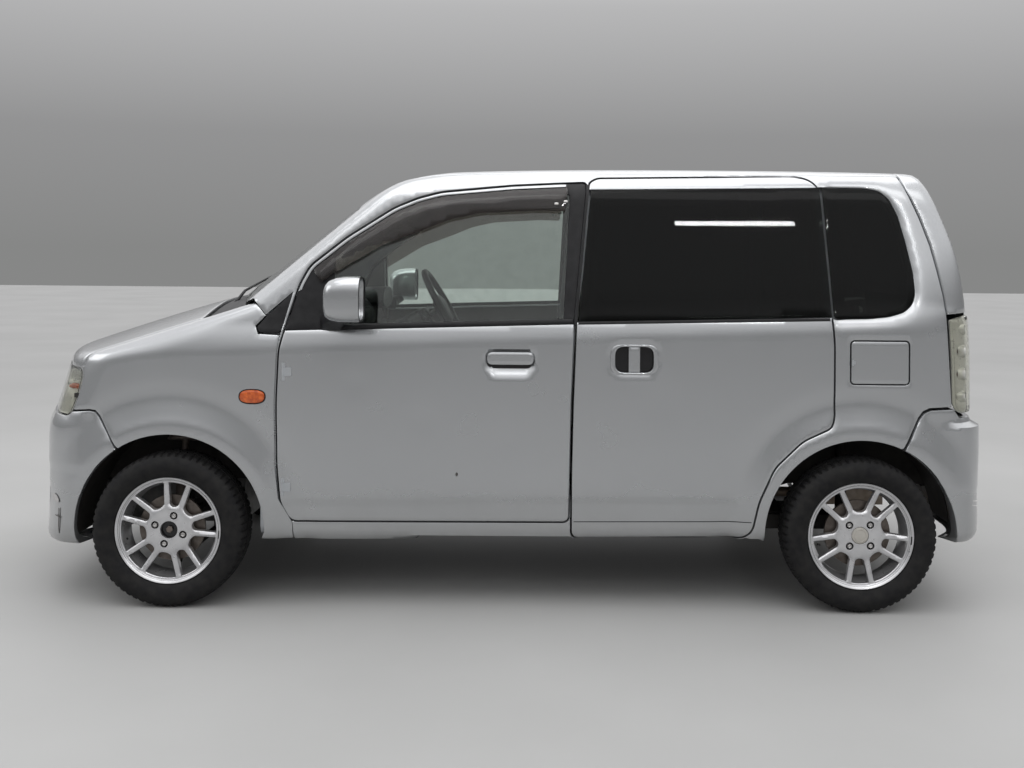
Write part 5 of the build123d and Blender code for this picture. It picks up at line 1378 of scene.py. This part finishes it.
def ring_of(centre, a, b, radius, n):
    """Points of a closed circle spanned by two unit vectors."""
    return [centre + (a * cos(t) + b * sin(t)) * radius for t in np.linspace(0, 2 * pi, n + 1)[:-1]]


dash = rounded([(-790, 660), (-640, 650), (-590, 760), (-560, 860), (-552, 930), (-566, 1000), (-630, 1036),
                (-790, 1040)], 40)
b = Build()
b.loft(across_car(dash, zip((-618, -612, -600, -300, 0, 300, 600, 612, 618),
                            (0.94, 0.98, 1, 1, 1, 1, 1, 0.98, 0.94))))
b.obj("dashboard_shell", "dash", "body", "dash_plastic", ("dashboard",))
g = Build()
hood = oval(150, 46, 36, 2.6, (330, 1010))
g.loft([[(x, y, z) for y, z in moved_out(hood, m)]
        for x, m in ((-650, -8), (-560, 0), (-520, 0), (-512, -5), (-514, -12))])
g.bar((-572, -110, 700), (-540, 110, 985), 14)
for y in (-520, -400, 130, 520):
    g.bar((-562, y - 52, 905), (-543, y + 52, 960), 8)
    for k in range(4):
        g.bar((-546, y - 46, 911 + 12 * k), (-540, y + 46, 915 + 12 * k), 1.5)
g.bar((-566, -560, 800), (-549, -190, 886), 10)
g.tube(ring_of(Vector((-548, -20, 860)), Vector(Y), Vector(Z), 20, 24), 4, closed=True)
g.tube([(-545, 40, 760), (-500, 36, 750), (-470, 32, 780), (-452, 30, 806)], [16, 13, 10, 15], sides=16)
g.obj("dashboard_fittings", "black", "body", "dash_plastic")

RAKE, WHEEL_RADIUS = radians(30), 171
STEER, COLUMN = Vector((-270, 330, 970)), Vector((-cos(RAKE), 0, -sin(RAKE)))
up, right = Vector((-sin(RAKE), 0, cos(RAKE))), Vector(Y)
b = Build()
b.tube(ring_of(STEER, right, up, WHEEL_RADIUS, 72), 13.5, sides=14, closed=True)
b.loft([[STEER + COLUMN * d + right * a * s + up * (c * s - 6) for a, c in oval(82, 66, 36, 3)]
        for d, s in ((34, 0.7), (18, 1.0), (4, 1.0), (-6, 0.9), (-11, 0.6), (-12, 0.2))])
for a, wide in ((0.12, 22), (pi - 0.12, 22), (-pi / 2, 26)):
    d = right * cos(a) + up * sin(a)
    w = right * -sin(a) + up * cos(a)
    b.loft([[STEER + d * r + w * wide * k * p + COLUMN * (deep + q)
             for p, q in ((-1, -5), (1, -5), (1, 5), (-1, 5))]
            for r, k, deep in ((60, 1, 8), (110, 0.7, 7), (150, 0.75, 3), (WHEEL_RADIUS, 1.0, 0))])
b.tube([STEER + COLUMN * 20, STEER + COLUMN * 320], 12, sides=20)
b.obj("steering_wheel_trim", "black", "steering_wheel", "dash_plastic", ("steering_wheel",))
g = Build()
g.turned([(70, 30), (76, 40), (110, 46), (240, 50), (300, 46), (302, 34), (70, 16)], STEER, COLUMN, 0, 40)
for way in (-1, 1):
    start = STEER + COLUMN * 95 + right * way * 38
    g.tube([start, start + right * way * 60 + up * 14, start + right * way * 135 + up * 30 - COLUMN * 12],
           [8, 7, 9], sides=12)
g.obj("column_shroud", "black", "body", "dash_plastic")


def both_ways(middle, *half):
    """How far a cushion is drawn in at its middle and at places on both sides of it."""
    return [(-w, pull) for w, pull in reversed(half)] + [(0, middle), *half]


SIDE_PULLS = both_ways(-0.012, (0.3, 0.0), (0.58, 0.03), (0.62, 0.075), (0.66, 0.03), (0.80, -0.02),
                       (0.93, 0.02), (0.985, 0.12), (1.0, 0.30))
HEAD_PULLS = both_ways(-0.02, (0.4, 0), (0.8, 0.02), (0.95, 0.14), (1, 0.4))
SEAT_BASE = ((-272, 500), (-286, 545), (-268, 600), (-225, 622), (-120, 610), (0, 592), (110, 584),
             (180, 590), (205, 560), (200, 500), (100, 478), (-100, 474), (-220, 480))
SEAT_BACK = ((150, 575), (185, 560), (250, 575), (300, 640), (330, 800), (356, 960), (366, 1050), (345, 1084),
             (305, 1086), (274, 1050), (250, 960), (222, 830), (190, 700), (160, 630))
HEAD_REST = ((290, 1100), (282, 1130), (286, 1170), (306, 1196), (340, 1200), (362, 1180), (366, 1140),
             (358, 1104), (330, 1088))
BENCH_BASE = ((604, 470), (596, 530), (620, 600), (660, 618), (800, 606), (960, 590), (1010, 590),
              (1040, 560), (1020, 470), (900, 440), (700, 440))
BENCH_BACK = ((985, 590), (1010, 570), (1080, 560), (1140, 620), (1160, 760), (1184, 920), (1190, 990),
              (1165, 1014), (1120, 1012), (1096, 985), (1070, 880), (1030, 740), (1000, 650))
BENCH_HEAD = ((1118, 1030), (1112, 1070), (1120, 1112), (1150, 1132), (1182, 1116), (1188, 1070),
              (1180, 1032), (1150, 1020))


def cushion(name, profile, centre_y, half, pulls=SIDE_PULLS, nodes=()):
    """Padded form lofted from rings drawn in at the seams and sides; subdivision crowns its faces."""
    b = Build()
    b.loft(across_car(profile, [(centre_y + half * w, 1 - pull) for w, pull in pulls]))
    obj = b.obj(name, "seat", "body", "seat_fabric", nodes, sharp=80)
    sub = obj.modifiers.new("subdivision", "SUBSURF")
    sub.levels = sub.render_levels = 2


for side, word in SIDES.items():
    cy = side * 330.0
    cushion(f"seat_base_{word}", SEAT_BASE, cy, 232, nodes=("front_seats",) if side < 0 else ())
    cushion(f"seat_back_{word}", SEAT_BACK, cy, 232)
    cushion(f"head_rest_{word}", HEAD_REST, cy, 128, HEAD_PULLS)
    g = Build()
    for dy in (-45, 45):
        g.tube([(318, cy + dy, 1060), (326, cy + dy, 1110)], 6, sides=14)
    g.obj(f"head_rest_posts_{word}", "chrome", "body", "seat_fabric")
    g = Build()
    g.bar((-180, cy - 200, 250), (260, cy + 200, 300), 8)
    for dy in (-185, 185):
        g.bar((-230, cy + dy - 16, 247), (280, cy + dy + 16, 275), 6)
    g.bar((-190, cy - 190, 300), (240, cy + 190, 480), 20)
    g.obj(f"seat_frame_{word}", "black", "body", "dash_plastic")
for side, word in SIDES.items():
    cy = side * 202.0
    cushion(f"bench_base_{word}", BENCH_BASE, cy, 200, nodes=("rear_seat",) if side < 0 else ())
    cushion(f"bench_back_{word}", BENCH_BACK, cy, 200)
    cushion(f"bench_head_{word}", BENCH_HEAD, cy + side * 98, 112, HEAD_PULLS)
g = Build()
g.bar((640, -380, 416), (1000, 380, 452), 8)
for y in (-340, -260, 260, 340):
    g.tube([(1146, y, 1000), (1150, y, 1040)], 6, sides=12)
g.obj("bench_frame", "black", "body", "seat_fabric")
g = Build()
for side in SIDES:
    g.tube([(300, side * 640, 520), (314, side * 606, 1340)], 7, sides=10)
g.obj("belt_webs", "black", "body", "seat_fabric")
for name, mat, slot, bars in (
        ("cabin_mirror", "black", "dash_plastic", (((-478, -110, 1322), (-448, 110, 1380), 12),
                                                   ((-470, -14, 1372), (-456, 14, 1408), 4))),
        ("floor_carpet", "carpet", "seat_fabric", (((-700, -530, 246.5), (740, 530, 254), 3),
                                                   ((790, -395, 416.5), (1600, 395, 424), 3)))):
    g = Build()
    for low, high, edge in bars:
        g.bar(low, high, edge)
    g.obj(name, mat, "body", slot)
sheet("headlining", "headliner", "body", "seat_fabric", cabin_top, dense(box_line((455, 0), (925, 520)), 40),
      top=40, thickness=4, lip=0, grid=70)

# ---------------------------------------------------------------- front frame, its upper bar behind the lamps
BAR_X, BAR_Z, BAR_BACK = -1574.0, 690.0, 34.0
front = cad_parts["front_frame"]
points = [front.matrix_world @ v.co / MM for v in front.data.vertices]
b = Build()
b.add([(p.x + BAR_BACK * (p.x < BAR_X and p.z > BAR_Z), p.y, p.z) for p in points],
      [tuple(f.vertices) for f in front.data.polygons])
b.obj("front_frame_metal", "under", "body", "under_steel", ("front_frame",))

# ---------------------------------------------------------------- CAD nodes that stay
for nodes, mat in ((("floor_pan", "lower_arms", "rear_axle", "fuel_tank", "drive_shafts"), "under"),
                   (("engine",), "engine"), (("exhaust",), "exhaust"),
                   (("knuckle_left", "knuckle_right"), "iron"),
                   (tuple(f"hub_{name}" for name, *_ in WHEELS), "disc")):
    for node in nodes:
        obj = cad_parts[node]
        obj.data.materials.clear()
        obj.data.materials.append(M[mat])
        edge = obj.modifiers.new("edge", "BEVEL")
        edge.width, edge.segments, edge.limit_method, edge.angle_limit = 0.002, 2, "ANGLE", radians(40)

# ---------------------------------------------------------------- floor, light and camera
FLOOR_REACH = 30.0
look = Look("floor_pale")
colour = look.ramp(look.noise(0.8, 5.0), 0.3, (0.33, 0.33, 0.325), 0.7, (0.37, 0.37, 0.365))
mesh = bpy.data.meshes.new("floor")
mesh.from_pydata([(x, y, 0) for x, y in box_line((0, 0), (FLOOR_REACH, FLOOR_REACH))], [], [(0, 1, 2, 3)])
mesh.materials.append(look.done(Base_Color=colour, Roughness=0.6))
floor = bpy.data.objects.new("floor", mesh)
bpy.context.scene.collection.objects.link(floor)

SKY = (
    # height of the view direction, shade
    (0.0, (0.24, 0.242, 0.240)), (0.10, (0.29, 0.29, 0.29 * 1.01)), (0.21, (0.47, 0.47, 0.47 * 1.01)),
    (0.36, (0.98, 0.98, 0.98 * 1.01)), (0.58, (1.25, 1.25, 1.25 * 1.01)), (1.0, (1.28, 1.28, 1.30)))
world = bpy.data.worlds.new("studio")
bpy.context.scene.world = world
world.use_nodes = True
nodes, links = world.node_tree.nodes, world.node_tree.links
height, sky = nodes.new("ShaderNodeSeparateXYZ"), nodes.new("ShaderNodeValToRGB")
links.new(nodes.new("ShaderNodeTexCoord").outputs["Generated"], height.inputs[0])
links.new(height.outputs["Z"], sky.inputs["Fac"])
for at, shade in SKY:
    stops = sky.color_ramp.elements
    stop = stops[0] if at == 0.0 else stops[-1] if at == 1.0 else stops.new(at)
    stop.color = (*shade, 1)
links.new(sky.outputs["Color"], nodes["Background"].inputs["Color"])
nodes["Background"].inputs["Strength"].default_value = 1.0

LAMPS = (
    # name, place, aimed at, width, height, watts
    ("lamp_top", (0.2, -0.2, 4.4), (0.0, 0.0, 0.6), 6.5, 3.6, 84),
    ("lamp_near", (0.2, -3.4, 4.5), (0.0, -0.4, 0.7), 6.5, 1.7, 36),
    ("lamp_strip", (1.67, -5.26, 3.58), (0.8, -0.64, 1.33), 0.95, 0.035, 9.0),
    ("lamp_front", (-5.0, -1.5, 2.8), (-1.0, 0.0, 0.7), 2.5, 2.0, 25),
)
for name, place_at, target, wide, high, watts in LAMPS:
    data = bpy.data.lights.new(name, "AREA")
    data.shape, data.size, data.size_y, data.energy = "RECTANGLE", wide, high, watts
    lamp = bpy.data.objects.new(name, data)
    lamp.location = place_at
    lamp.rotation_euler = (Vector(target) - Vector(place_at)).to_track_quat("-Z", "Y").to_euler()
    bpy.context.scene.collection.objects.link(lamp)

camera_data = bpy.data.cameras.new("camera")
camera_data.lens, camera_data.sensor_width = 39.6, 36.0
camera_data.shift_x, camera_data.shift_y = -0.030, -0.131
camera = bpy.data.objects.new("camera", camera_data)
camera.location = (0.150, -4.515, 1.2185)
camera.rotation_euler = (radians(90), radians(-0.49), 0)
bpy.context.scene.collection.objects.link(camera)
bpy.context.scene.camera = camera
bpy.context.scene.view_settings.view_transform = "Standard"
